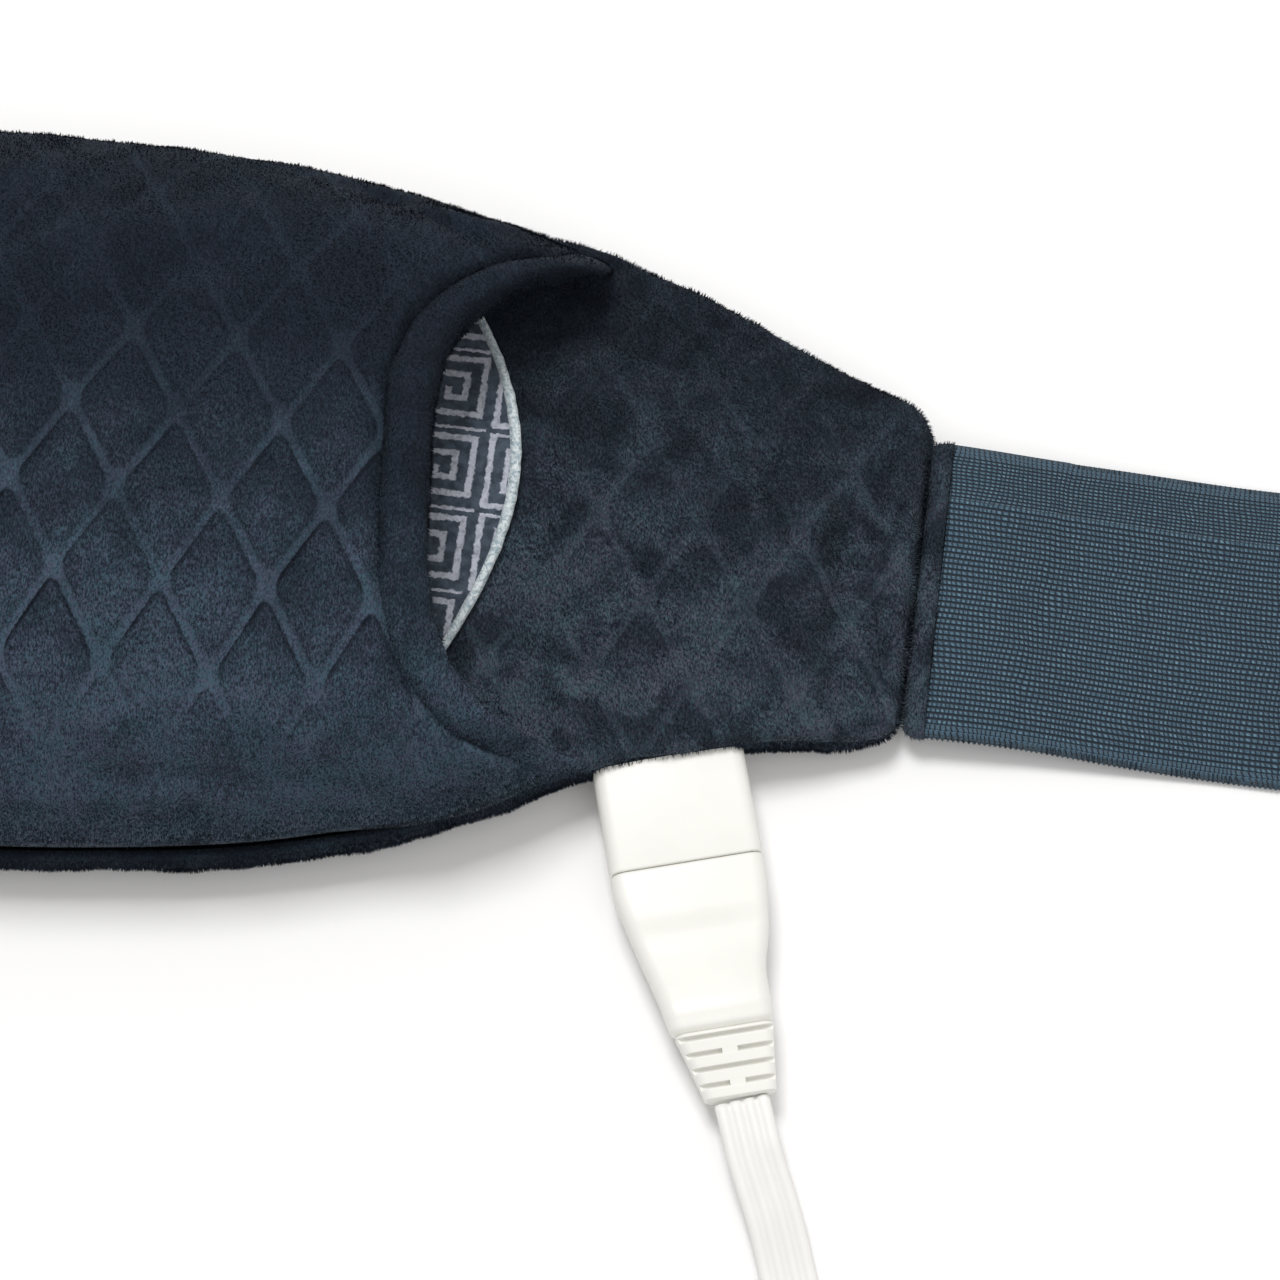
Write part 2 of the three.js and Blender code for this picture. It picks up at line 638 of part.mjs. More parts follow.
function strapGeometry(reach) {
  const half = strapThickness / 2;
  const stations = strapStationShares.map((share) => share * strapDrop);
  stations.push((reach + strapDrop) / 2, reach);
  const edge = (side) => stations.map((u) => [hingeReach + u, strapMiddle(u) + side * half]);
  const rootCurve = [-0.5, 0, 0.5].map((turn) => {
    const angle = Math.PI * (1 - turn / 2);
    return [hingeReach + half * Math.cos(angle), strapRootHeight + half * Math.sin(angle)];
  });
  const points = [...edge(-1), ...edge(1).reverse(), ...rootCurve.reverse()];
  const outline = new THREE.Shape(points.map(([x, z]) => new THREE.Vector2(x, z)));
  return crosswise(outline, strapWidth);
}

function strapPlace(side) {
  const place = new THREE.Group();
  place.position.set(side * bodyHalfLength, strapRootY, 0);
  place.rotation.z = side > 0 ? -strapTilt : Math.PI + strapTilt;
  belt.add(place);
  return place;
}
const strapEnd = hingeReach + strapReach;
// The tab's rounded end reaches exactly as far along X as the other strap's square one.
const tabEnd = strapEnd + tabCornerRadius * (1 - 1 / Math.cos(strapTilt))
  + ((strapWidth - hookTabWidth) / 2 + tabCornerRadius) * Math.tan(strapTilt);
const tabStart = tabEnd - hookTabLength;
const right = strapPlace(1);
const left = strapPlace(-1);
piece('right_end_cuff', cuffGeometry(), plush, right);
piece('left_end_cuff', cuffGeometry(), plush, left);
piece('left_strap', strapGeometry(strapReach), elastic, left);
piece('right_strap', strapGeometry(tabStart - fit - hingeReach), elastic, right);
piece('hook_tab', roundedPlate(hookTabLength, hookTabWidth, tabCornerRadius, strapThickness)
  .translate(tabEnd - hookTabLength / 2, 0, 0), hookTape, right);
const band = (length, width, thickness, x) =>
  roundedPlate(length, width, thickness, thickness).translate(x, 0, strapThickness + fit);
piece('right_strap_binding', band(bindingLength, hookTabWidth, bindingThickness,
  tabStart - fit / 2), elastic, right);
piece('left_strap_binding', band(bindingLength, strapWidth - 2 * fit, bindingThickness,
  strapEnd - bindingLength / 2), elastic, left);
piece('loop_patch', band(loopPatchLength, loopPatchWidth, patchThickness,
  strapEnd - bindingLength - fit - loopPatchLength / 2), hookTape, left);

// Socket: two shells round an insert with four sleeves
const pinZ = connectorBottom + connectorThickness / 2;
const bayHalfWidth = connectorWidth / 2 - shellWall;
const bayHalfHeight = connectorThickness / 2 - shellWall;
const bayStart = shellWall - socketHidden;
const insertStart = bayStart + fit;
const insertEnd = insertStart + insertLength;
const plugStart = socketShows + fit;
const noseStart = plugStart - noseLength;
const sleeveBore = pinDiameter + 2 * fit;
const sleeveDiameter = sleeveBore + 2 * sleeveWall;
const socketBox = (x0, x1, halfWidth, z0, z1) => box(x0, x1, -halfWidth, halfWidth, z0, z1);
const leadSlot = socketBox(-socketHidden - cutOver, bayStart + cutOver / 2, heaterLeadWidth / 2 + fit,
  wireZ - fit, wireZ + wireDiameter + fit);
const connectorRing = (at, extra = {}) => boxRing({
  at, width: connectorWidth, thickness: connectorThickness, corner: connectorCorner, lift: pinZ, ...extra,
});
const socketShell = cut(
  loft([connectorRing(-socketHidden), connectorRing(socketShows)]),
  socketBox(bayStart, socketShows + cutOver, bayHalfWidth, pinZ - bayHalfHeight, pinZ + bayHalfHeight),
  leadSlot,
);
const socketHalf = (z0, z1) =>
  socketBox(-socketHidden - cutOver, socketShows + cutOver, connectorWidth, z0, z1);
piece('socket_upper_shell', common(socketShell, socketHalf(pinZ + fit / 2, pinZ + connectorThickness)),
  ivoryPlastic, socketPlace);
piece('socket_lower_shell', common(socketShell, socketHalf(pinZ - connectorThickness, pinZ - fit / 2)),
  ivoryPlastic, socketPlace);

const pinOffsets = Array.from({ length: pinCount }, (_, i) => (i - (pinCount - 1) / 2) * pinSpacing);
piece('socket_insert', cut(
  socketBox(insertStart, insertEnd, bayHalfWidth - fit,
    pinZ - bayHalfHeight + fit, pinZ + bayHalfHeight - fit),
  ...pinOffsets.map((y) =>
    lengthwise(sleeveDiameter + 2 * fit, insertStart - cutOver, insertEnd + cutOver, y, pinZ, 10)),
), greyPlastic, socketPlace);
pinOffsets.forEach((y, i) => {
  piece(`socket_contact_${i + 1}`, cut(
    lengthwise(sleeveDiameter, insertStart + fit, insertEnd - fit, y, pinZ, 10),
    lengthwise(sleeveBore, insertStart - cutOver, insertEnd + cutOver, y, pinZ, 10),
  ), copper, socketPlace);
  piece(`plug_pin_${i + 1}`,
    lengthwise(pinDiameter, noseStart - fit - pinLength, noseStart - fit, y, pinZ, 8), nickel, socketPlace);
});
piece('heater_lead', socketBox(-socketHidden - fit - heaterLeadLength, bayStart, heaterLeadWidth / 2,
  wireZ, wireZ + wireDiameter), whiteCord, socketPlace);

// Plug: a nose in the socket, a body that narrows to one side, and a slotted strain relief
const plugEnd = plugStart + plugLength;
const noseRing = (at) => boxRing({
  at, width: 2 * (bayHalfWidth - fit), thickness: 2 * (bayHalfHeight - fit), corner: fit, lift: pinZ,
});
const plugRing = (share, narrow, thin = 0) => connectorRing(plugStart + share * plugLength, {
  width: THREE.MathUtils.lerp(connectorWidth, plugEndWidth, narrow),
  thickness: THREE.MathUtils.lerp(connectorThickness, plugEndThickness, narrow) - thin,
  shift: plugEndShift * narrow,
});
piece('plug_body', loft([
  noseRing(noseStart),
  noseRing(plugStart),
  ...plugTaperShares.map(([share, taper]) => plugRing(share, taper)),
  plugRing(1, 1, connectorCorner),
]), ivoryPlastic, socketPlace);

const reliefStart = plugEnd + fit;
const reliefEnd = reliefStart + reliefLength;
const reliefRing = (share) => boxRing({
  at: reliefStart + share * reliefLength,
  width: THREE.MathUtils.lerp(reliefStartWidth, reliefEndWidth, share),
  thickness: THREE.MathUtils.lerp(reliefThickness, reliefEndThickness, share),
  corner: connectorCorner,
  shift: THREE.MathUtils.lerp(plugEndShift, reliefShift, share),
  lift: pinZ - reliefDrop * share,
});
const slotShares = Array.from({ length: slotRows }, (_, i) => (i + 1) / (slotRows + 1));
const reliefSlots = slotShares.flatMap((share, i) => {
  const x = reliefStart + share * reliefLength;
  const middle = THREE.MathUtils.lerp(plugEndShift, reliefShift, share);
  const half = (reliefEndWidth * slotReachShare) / 2;
  const bridge = i % 2 === 1 ? slotWidth / 2 : 0;
  const spans = bridge > 0 ? [[-half, -bridge], [bridge, half]] : [[-half, half]];
  const thickness = THREE.MathUtils.lerp(reliefThickness, reliefEndThickness, share);
  return spans.flatMap(([y0, y1]) => [1, -1].map((side) => {
    const face = pinZ - reliefDrop * share + (side * thickness) / 2;
    return box(x - slotWidth / 2, x + slotWidth / 2, middle + y0, middle + y1,
      face - slotDepth, face + slotDepth);
  }));
});
piece('plug_relief', cut(loft([reliefRing(0), reliefRing(1)]), ...reliefSlots), ivoryPlastic, socketPlace);

// Cords. A free stretch follows its own points; a coil winds in on its lower layer, climbs a layer where
// the spiral turns back, and winds out again on the upper one.
const flatSection = (() => {
  const w = flatCordWidth / 2;
  const h = flatCordThickness / 2;
  const half = [[w, -h / 2], [w, h / 2], [w - h, h], [h - w, h]];
  return [...half, ...half.map(([a, b]) => [-a, -b])];
})();

function stretch(points, section, spacing) {
  const path = new THREE.CatmullRomCurve3(points);
  const outline = new THREE.Shape(section.map(([a, b]) => new THREE.Vector2(-b, a)));
  const steps = Math.ceil(path.getLength() / spacing);
  return new THREE.ExtrudeGeometry(outline, { steps, extrudePath: path, bevelEnabled: false });
}

function coil({ centre, radius, pitch, rise, climb, from, turn, lift, lead }) {
  const radiusAt = (angle) => radius - (pitch * Math.min(angle, turn - angle)) / (2 * Math.PI);
  const heightAt = (angle) =>
    lift + rise * THREE.MathUtils.smoothstep(angle, (turn - climb) / 2, (turn + climb) / 2);
  const at = (angle) => new THREE.Vector3(
    centre.x + radiusAt(angle) * Math.cos(from - angle),
    centre.y + radiusAt(angle) * Math.sin(from - angle),
    heightAt(angle),
  );
  const wayAt = (angle) => new THREE.Vector3(Math.sin(from - angle), -Math.cos(from - angle), 0);
  const steps = Math.round((turn / (2 * Math.PI)) * loopSteps);
  const loops = Array.from({ length: steps + 1 }, (_, i) => at((turn * i) / steps));
  const start = at(0).addScaledVector(wayAt(0), -lead);
  const end = at(turn).addScaledVector(wayAt(turn), lead);
  const radiiAt = (angle) => {
    const radii = [];
    const full = 2 * Math.PI;
    for (let passed = (((from - angle) % full) + full) % full; passed <= turn; passed += full) {
      radii.push(radiusAt(passed));
    }
    return radii;
  };
  return { points: [start, ...loops, end], start, end, startWay: wayAt(0), endWay: wayAt(turn), radiiAt };
}

// The least room between strands that lie more than half a loop apart.
function leastGap(points, halfWidth, halfHeight, isFlat) {
  let least = Infinity;
  points.forEach((point, i) => {
    points.slice(i + loopSteps / 2).forEach((other) => {
      const across = Math.hypot(other.x - point.x, other.y - point.y);
      const above = Math.abs(other.z - point.z);
      const gap = isFlat
        ? Math.max(across - 2 * halfWidth, above - 2 * halfHeight)
        : Math.hypot(across, above) - 2 * halfWidth;
      least = Math.min(least, gap);
    });
  });
  return least;
}

// A band round the whole bundle of a coil
function tieGeometry(bundle, angle, halfWidth, top) {
  const radii = bundle.radiiAt(angle);
  const slack = 3 * fit;
  const inner = Math.min(...radii) - halfWidth - slack;
  const outer = Math.max(...radii) + halfWidth + slack;
  const rectangle = (x0, x1, z0, z1) =>
    [[x0, z0], [x1, z0], [x1, z1], [x0, z1]].map(([x, z]) => new THREE.Vector2(x, z));
  const outline = new THREE.Shape(rectangle(inner - tieThickness, outer + tieThickness, 0,
    top + fit + tieThickness));
  outline.holes.push(new THREE.Path(rectangle(inner, outer, tieThickness, top + fit)));
  return crosswise(outline, tieWidth);
}
function tie(name, bundle, centre, angle, halfWidth, top) {
  const place = new THREE.Group();
  place.position.copy(centre);
  place.rotation.z = angle;
  belt.add(place);
  piece(name, tieGeometry(bundle, angle, halfWidth, top), tieStrap, place);
}

// Flat cord: out of the strain relief, down to the surface, into its coil and on to the controller
const flatHalf = flatCordThickness / 2;
const flatExit = atSocket(reliefEnd + 2 * fit, reliefShift, pinZ - reliefDrop);
const flatExitTurn = socketTurn + flatCordLean;
const flatExitWay = new THREE.Vector3(Math.sin(flatExitTurn), -Math.cos(flatExitTurn), 0);
const flatCoilCentre = socketPlace.position.clone().add(new THREE.Vector3(...flatCoilPlace, 0));
const flatCoil = coil({
  centre: flatCoilCentre,
  radius: flatCoilRadius,
  pitch: flatCoilPitch,
  rise: flatCordThickness + layerGap,
  climb: flatCoilClimb,
  from: flatCoilFrom,
  turn: flatCoilTurn,
  lift: coilLift + flatHalf,
  lead: flatCordWidth,
});
piece('flat_cord_run', stretch([
  flatExit,
  flatExit.clone().addScaledVector(flatExitWay, flatCordWidth / 2),
  flatExit.clone().addScaledVector(flatExitWay, flatCordWidth),
  ...flatRunPoints.map((point) => socketPlace.position.clone().add(new THREE.Vector3(...point))),
  flatCoil.start.clone().addScaledVector(flatCoil.startWay, -fit - flatCordWidth),
  flatCoil.start.clone().addScaledVector(flatCoil.startWay, -fit),
], flatSection, flatCordWidth * 0.9), whiteCord);
piece('flat_cord_coil', tube(flatCoil.points, flatSection), whiteCord);
const flatTop = coilLift + 2 * flatCordThickness + layerGap;
tie('flat_cord_tie', flatCoil, flatCoilCentre, Math.PI / 2, flatCordWidth / 2, flatTop);
console.log('least gap in the flat coil:',
  leastGap(flatCoil.points, flatCordWidth / 2, flatHalf, true).toFixed(2));

// Hand controller, in a frame under its middle, with the flat cord coming in at its +X end
const controllerPlace = new THREE.Group();
const controllerZ = controllerSplit; // both cords come in between the shells
controllerPlace.position.set(flatCoilCentre.x + controllerX, flatCoil.end.y, 0);
belt.add(controllerPlace);
controllerPlace.updateMatrix();
const controllerHalf = controllerLength / 2;
const controllerReliefEnd = controllerHalf + controllerReliefLength;
const atController = (x, y, z) => new THREE.Vector3(x, y, z).applyMatrix4(controllerPlace.matrix);
const flatArrival = atController(controllerReliefEnd + fit, 0, controllerZ);
const flatTailStart = flatCoil.end.clone().addScaledVector(flatCoil.endWay, fit);
piece('flat_cord_tail', stretch([
  flatTailStart,
  flatTailStart.clone().addScaledVector(flatCoil.endWay, flatCordWidth / 2),
  flatTailStart.clone().addScaledVector(flatCoil.endWay, flatCordWidth),
  new THREE.Vector3(flatCoilCentre.x + flatTailX, flatCoil.end.y, flatTailZ),
  new THREE.Vector3(flatCoilCentre.x + flatTailEndX, flatCoil.end.y, flatTailEndZ),
  flatArrival.clone().setX(flatArrival.x + flatCordWidth),
  flatArrival,
], flatSection, flatCordWidth * 0.9), whiteCord);

const bossX = controllerHalf - bossInset;
const bossY = controllerWidth / 2 - bossSideInset;
const bossPlaces = [[bossX, bossY], [-bossX, bossY], [-bossX, -bossY], [bossX, -bossY]];
const outerBody = roundedPlate(controllerLength, controllerWidth, controllerCorner, controllerHeight,
  controllerBevel);
const innerRoom = roundedPlate(controllerLength - 2 * controllerWall, controllerWidth - 2 * controllerWall,
  controllerCorner - controllerWall, controllerHeight - 2 * controllerWall)
  .translate(0, 0, controllerWall);
const ceiling = controllerHeight - controllerWall;
const neckHalfWidth = flatCordWidth / 2 + reliefCollar;
const neckHalfHeight = mainsCordDiameter / 2 + reliefCollar;
const neckHole = box(-controllerLength, controllerLength, -neckHalfWidth - fit, neckHalfWidth + fit,
  controllerZ - neckHalfHeight - fit, controllerZ + neckHalfHeight + fit);
const shellSlice = (z0, z1) =>
  box(-controllerLength, controllerLength, -controllerWidth, controllerWidth, z0, z1);
const upperRaw = common(outerBody, shellSlice(controllerSplit + fit / 2, controllerHeight + cutOver));
const lowerRaw = common(outerBody, shellSlice(-cutOver, controllerSplit - fit / 2));
const buttonXs = [0, 1, 2].map((i) => buttonPitchStart + i * buttonSpacing);
const buttonNames = ['power_button', 'heat_button', 'timer_button'];
const shankHole = screwShankDiameter + 2 * fit;

piece('controller_upper_shell', cut(
  fuse(
    cut(upperRaw, innerRoom, neckHole,
      ...buttonXs.map((x) =>
        upright(buttonDiameter + 2 * fit, ceiling - cutOver, controllerHeight + cutOver, x, 0, 16)),
      box(windowCentre - windowLength / 2 - fit, windowCentre + windowLength / 2 + fit,
        -windowWidth / 2 - fit, windowWidth / 2 + fit, controllerHeight - windowThickness - fit,
        controllerHeight + cutOver),
      box(windowCentre - windowLength / 2 + windowLedge, windowCentre + windowLength / 2 - windowLedge,
        windowLedge - windowWidth / 2, windowWidth / 2 - windowLedge, ceiling - cutOver,
        controllerHeight + cutOver)),
    ...bossPlaces.map(([x, y]) =>
      upright(upperBossDiameter, controllerSplit + fit, ceiling + controllerWall / 2, x, y, 12)),
  ),
  ...bossPlaces.map(([x, y]) =>
    upright(shankHole, controllerSplit - cutOver, screwRecess + screwLength + fit, x, y, 10)),
), ivoryPlastic, controllerPlace);
piece('controller_lower_shell', cut(
  fuse(
    cut(lowerRaw, innerRoom, neckHole),
    ...bossPlaces.map(([x, y]) =>
      upright(bossDiameter, controllerWall / 2, controllerSplit - fit / 2, x, y, 12)),
  ),
  ...bossPlaces.map(([x, y]) => upright(shankHole, -cutOver, controllerSplit + cutOver, x, y, 10)),
  ...bossPlaces.map(([x, y]) => upright(screwHeadDiameter + 2 * fit, -cutOver, screwRecess, x, y, 12)),
), ivoryPlastic, controllerPlace);
bossPlaces.forEach(([x, y], i) => {
  piece(`controller_screw_${i + 1}`, fuse(
    upright(screwHeadDiameter, screwRecess - screwHeadHeight - fit, screwRecess - fit, x, y, 12),
    upright(screwShankDiameter, screwRecess - screwHeadHeight / 2, screwRecess + screwLength, x, y, 8),
  ), nickel, controllerPlace);
});

const boardZ = controllerSplit - fit / 2 + fit;
const boardTop = boardZ + boardThickness;
const buttonTop = controllerHeight + buttonProud;
const flangeTop = ceiling - fit;
const flangeBottom = flangeTop - buttonFlangeThickness;
const stemBottom = flangeBottom - buttonFlange;
const switchTop = stemBottom - buttonTravel - fit;
const boardLength = controllerLength - 2 * (controllerWall + boardMargin);
const boardWidth = controllerWidth - 2 * (controllerWall + boardMargin);
const neckInside = controllerHalf - controllerWall - 2 * reliefCollar;
piece('controller_board', fuse(
  cut(
    roundedPlate(boardLength, boardWidth, controllerCorner - controllerWall - boardMargin, boardThickness)
      .translate(0, 0, boardZ),
    ...bossPlaces.map(([x, y]) =>
      upright(upperBossDiameter + 2 * fit, boardZ - cutOver, boardTop + cutOver, x, y, 12)),
    ...[-1, 1].map((side) => box(Math.min(side * neckInside, side * controllerLength),
      Math.max(side * neckInside, side * controllerLength), -neckHalfWidth - 2 * reliefCollar,
      neckHalfWidth + 2 * reliefCollar, boardZ - cutOver, boardTop + cutOver)),
  ),
  ...buttonXs.map((x) => box(x - switchSize / 2, x + switchSize / 2, -switchSize / 2, switchSize / 2,
    boardZ + boardThickness / 2, switchTop)),
  box(windowCentre - windowLength / 2 + 2 * windowLedge, windowCentre + windowLength / 2 - 2 * windowLedge,
    2 * windowLedge - windowWidth / 2, windowWidth / 2 - 2 * windowLedge, boardZ + boardThickness / 2,
    ceiling - fit),
), boardGreen, controllerPlace);
piece('display_window', box(windowCentre - windowLength / 2, windowCentre + windowLength / 2,
  -windowWidth / 2, windowWidth / 2, controllerHeight - windowThickness, controllerHeight),
darkPlastic, controllerPlace);
buttonNames.forEach((name, i) => {
  const x = buttonXs[i];
  piece(name, fuse(
    upright(buttonDiameter, flangeBottom + buttonFlangeThickness / 2, buttonTop, x, 0, 16),
    upright(buttonDiameter + 2 * buttonFlange, flangeBottom, flangeTop, x, 0, 16),
    upright(stemDiameter, stemBottom, flangeBottom + buttonFlangeThickness / 2, x, 0, 8),
  ), greyPlastic, controllerPlace);
});

// Strain reliefs: a collar inside the shells, a neck through their wall, and a taper outside
function controllerRelief(endWidth, endThickness) {
  const inside = controllerHalf - controllerWall - fit;
  const outside = controllerHalf + fit;
  const ring = (at, width, thickness) =>
    boxRing({ at, width, thickness, corner: reliefCollar, lift: controllerZ });
  const neck = [2 * neckHalfWidth, 2 * neckHalfHeight];
  const flange = [neck[0] + 2 * reliefCollar, neck[1] + 2 * reliefCollar];
  return loft([
    ring(inside - reliefCollar, ...flange), ring(inside, ...flange), ring(inside, ...neck),
    ring(outside, ...neck), ring(outside, ...flange), ring(outside + reliefCollar, ...flange),
    ring(outside + 2 * reliefCollar, ...neck), ring(controllerReliefEnd, endWidth, endThickness),
  ]);
}
piece('controller_cord_relief',
  controllerRelief(flatCordWidth + reliefCollar, flatCordThickness + reliefCollar),
  ivoryPlastic, controllerPlace);
piece('controller_mains_relief',
  controllerRelief(mainsCordDiameter + reliefCollar, mainsCordDiameter + reliefCollar)
    .rotateZ(Math.PI), ivoryPlastic, controllerPlace);

// Mains cord: out of the controller, into its coil, and out to the plug that lies beside it
const mainsHalf = mainsCordDiameter / 2;
const mainsExit = atController(-controllerReliefEnd - fit, 0, controllerZ);
const mainsExitWay = new THREE.Vector3(-1, 0, 0);
const mainsPitch = mainsCordDiameter + layerGap;
const mainsCoilCentre = controllerPlace.position.clone()
  .add(new THREE.Vector3(mainsCoilX, mainsCoilRadius, 0));
const mainsCoil = coil({
  centre: mainsCoilCentre,
  radius: mainsCoilRadius,
  pitch: mainsPitch,
  rise: mainsPitch,
  climb: Math.PI,
  from: -Math.PI / 2,
  turn: mainsCoilTurn,
  lift: coilLift + mainsHalf,
  lead: mainsCordDiameter,
});
piece('mains_cord_run', stretch([
  mainsExit,
  mainsExit.clone().addScaledVector(mainsExitWay, mainsCordDiameter),
  mainsExit.clone().addScaledVector(mainsExitWay, 2 * mainsCordDiameter),
  new THREE.Vector3(mainsCoilCentre.x + mainsRunX, mainsExit.y, mainsRunZ),
  mainsCoil.start.clone().addScaledVector(mainsCoil.startWay, -fit - 2 * mainsCordDiameter),
  mainsCoil.start.clone().addScaledVector(mainsCoil.startWay, -fit),
], roundSection(mainsCordDiameter, 8), 2 * mainsCordDiameter), whiteCord);
piece('mains_cord_coil', tube(mainsCoil.points, roundSection(mainsCordDiameter, 6)), whiteCord);
const mainsTop = coilLift + mainsPitch + mainsCordDiameter;
tie('mains_cord_tie', mainsCoil, mainsCoilCentre, Math.PI / 2, mainsHalf, mainsTop);
console.log('least gap in the mains coil:',
  leastGap(mainsCoil.points, mainsHalf, mainsHalf, false).toFixed(2));

const mainsPlugPlace = new THREE.Group();
mainsPlugPlace.position.set(mainsCoil.end.x, mainsCoilCentre.y + mainsPlugY, 0);
mainsPlugPlace.rotation.z = Math.PI / 2;
belt.add(mainsPlugPlace);
const mainsPlugZ = mainsPlugThickness / 2;
const mainsArrival = new THREE.Vector3(mainsCoil.end.x, mainsPlugPlace.position.y - fit, mainsPlugZ);
const mainsTailStart = mainsCoil.end.clone().addScaledVector(mainsCoil.endWay, fit);
piece('mains_cord_tail', stretch([
  mainsTailStart,
  mainsTailStart.clone().addScaledVector(mainsCoil.endWay, mainsCordDiameter),
  mainsTailStart.clone().addScaledVector(mainsCoil.endWay, 2 * mainsCordDiameter),
  new THREE.Vector3(mainsCoil.end.x, mainsCoilCentre.y + mainsTailY, mainsTailZ),
  mainsArrival.clone().setY(mainsArrival.y - 2 * mainsCordDiameter),
  mainsArrival,
], roundSection(mainsCordDiameter, 8), 2 * mainsCordDiameter), whiteCord);

const mainsRing = (at, width, thickness, corner) =>
  boxRing({ at, width, thickness, corner, lift: mainsPlugZ });
const plugRear = mainsPlugReliefLength;
const plugNeck = mainsCordDiameter + 4 * reliefCollar;
const plugFace = plugRear + mainsPlugLength;
piece('mains_plug_body', loft([
  mainsRing(0, mainsCordDiameter + reliefCollar, mainsCordDiameter + reliefCollar, reliefCollar),
  mainsRing(plugRear, plugNeck, plugNeck, 2 * reliefCollar),
  ...mainsPlugShares.map(([length, width, thickness]) => mainsRing(plugRear + mainsPlugLength * length,
    mainsPlugWidth * width, mainsPlugThickness * thickness, mainsPlugThickness / 4)),
  mainsRing(plugFace - reliefCollar, mainsPlugWidth, mainsPlugThickness, mainsPlugThickness / 4),
  mainsRing(plugFace, mainsPlugWidth - reliefCollar, mainsPlugThickness - reliefCollar,
    mainsPlugThickness / 4),
]), ivoryPlastic, mainsPlugPlace);
[-1, 1].forEach((side, i) => {
  const y = (side * bladeSpacing) / 2;
  piece(`mains_blade_${i + 1}`, box(
    plugFace + fit, plugFace + fit + bladeLength,
    y - bladeThickness / 2, y + bladeThickness / 2,
    mainsPlugZ - bladeHeight / 2, mainsPlugZ + bladeHeight / 2,
  ), nickel, mainsPlugPlace);
});

export default belt;
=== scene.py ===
"""Looks of a plush heating belt: muff, two elastic straps, four-core lead, controller and mains cord."""

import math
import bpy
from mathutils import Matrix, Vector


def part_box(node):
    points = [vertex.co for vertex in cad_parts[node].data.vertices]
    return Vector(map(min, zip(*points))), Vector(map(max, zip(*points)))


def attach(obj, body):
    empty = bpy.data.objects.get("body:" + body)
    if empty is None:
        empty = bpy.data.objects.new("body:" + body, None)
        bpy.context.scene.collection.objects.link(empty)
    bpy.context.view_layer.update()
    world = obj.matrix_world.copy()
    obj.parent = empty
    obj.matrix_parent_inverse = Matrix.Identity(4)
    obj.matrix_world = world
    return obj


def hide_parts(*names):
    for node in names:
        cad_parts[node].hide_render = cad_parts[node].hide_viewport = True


bl_info = {
    "name": "Heating belt",
    "version": (1, 0, 0),
    "blender": (4, 5, 0),
    "location": "View3D > Sidebar > Heating belt",
    "description": "Builds the plush, the straps, the lead and the controller round the packed frame",
    "category": "Object",
}

import bmesh
import bpy
from bpy.props import FloatProperty, FloatVectorProperty, IntProperty, PointerProperty
from mathutils import Matrix, Vector, noise

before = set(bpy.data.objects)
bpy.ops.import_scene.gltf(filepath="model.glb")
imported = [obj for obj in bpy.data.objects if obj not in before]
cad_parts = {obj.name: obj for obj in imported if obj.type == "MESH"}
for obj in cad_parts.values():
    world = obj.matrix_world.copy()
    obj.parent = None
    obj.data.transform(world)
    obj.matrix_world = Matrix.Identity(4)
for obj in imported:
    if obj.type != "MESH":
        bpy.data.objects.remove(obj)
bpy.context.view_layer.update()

MM = 0.001

# Sizes of the frame, in millimetres, that the cloth follows
FIT = 0.3
HALF_LENGTH = 200.5
HALF_HEIGHT = 77.25
TOP_SHARES = [(0, 1), (0.25, 0.957), (0.46, 0.882), (0.565, 0.815), (0.675, 0.735), (0.775, 0.618),
              (0.88, 0.475), (0.936, 0.418), (0.975, 0.38), (1.04, 0.29)]
BOTTOM_SHARES = [(0, 1), (0.155, 1), (0.31, 0.98), (0.4, 0.95), (0.5, 0.895), (0.595, 0.805),
                 (0.68, 0.712), (0.83, 0.63), (0.93, 0.597), (1.04, 0.555)]
MOUTH_CORNER = 136.0
MOUTH_DEPTH = 32.0
SEAM = (12.5, 5.6)  # its height in the middle of the muff, and at its ends
WING_THINNING = 34.5
CLOTH = 2.5
CROWN = 4.0
POCKET = 24.5  # height of the room for the hands
ROOF_LINING = 2.0
FRONT_CLOTH = 3.0
FRONT_PAD = (5.5, 4.0)  # thickness in the middle, and at the hand openings
FRONT_RIM = 5.5
RIM_INSET = 4.8
HEM_WIDTH = 10.0
STRAP_TILT = math.radians(5.25)
STRAP_ROOT_Y = -11.9
STRAP_WIDTH = 63.5
STRAP_THICKNESS = 2.0
STRAP_ROOT_Z = 6.1
STRAP_DROP = 64.0  # the length on which the strap comes down to the ground
HINGE = 5.3  # from the muff's end to the strap's fold
RIGHT_STRAP_END = 278.2
LEFT_STRAP_END = 325.3
TAB_END = 326.5
SOCKET_AT = Vector((151.5, -51.4, 0.0))
SOCKET_TURN = math.radians(11.5)
PIN_Z = 7.5  # height of the connector's pins


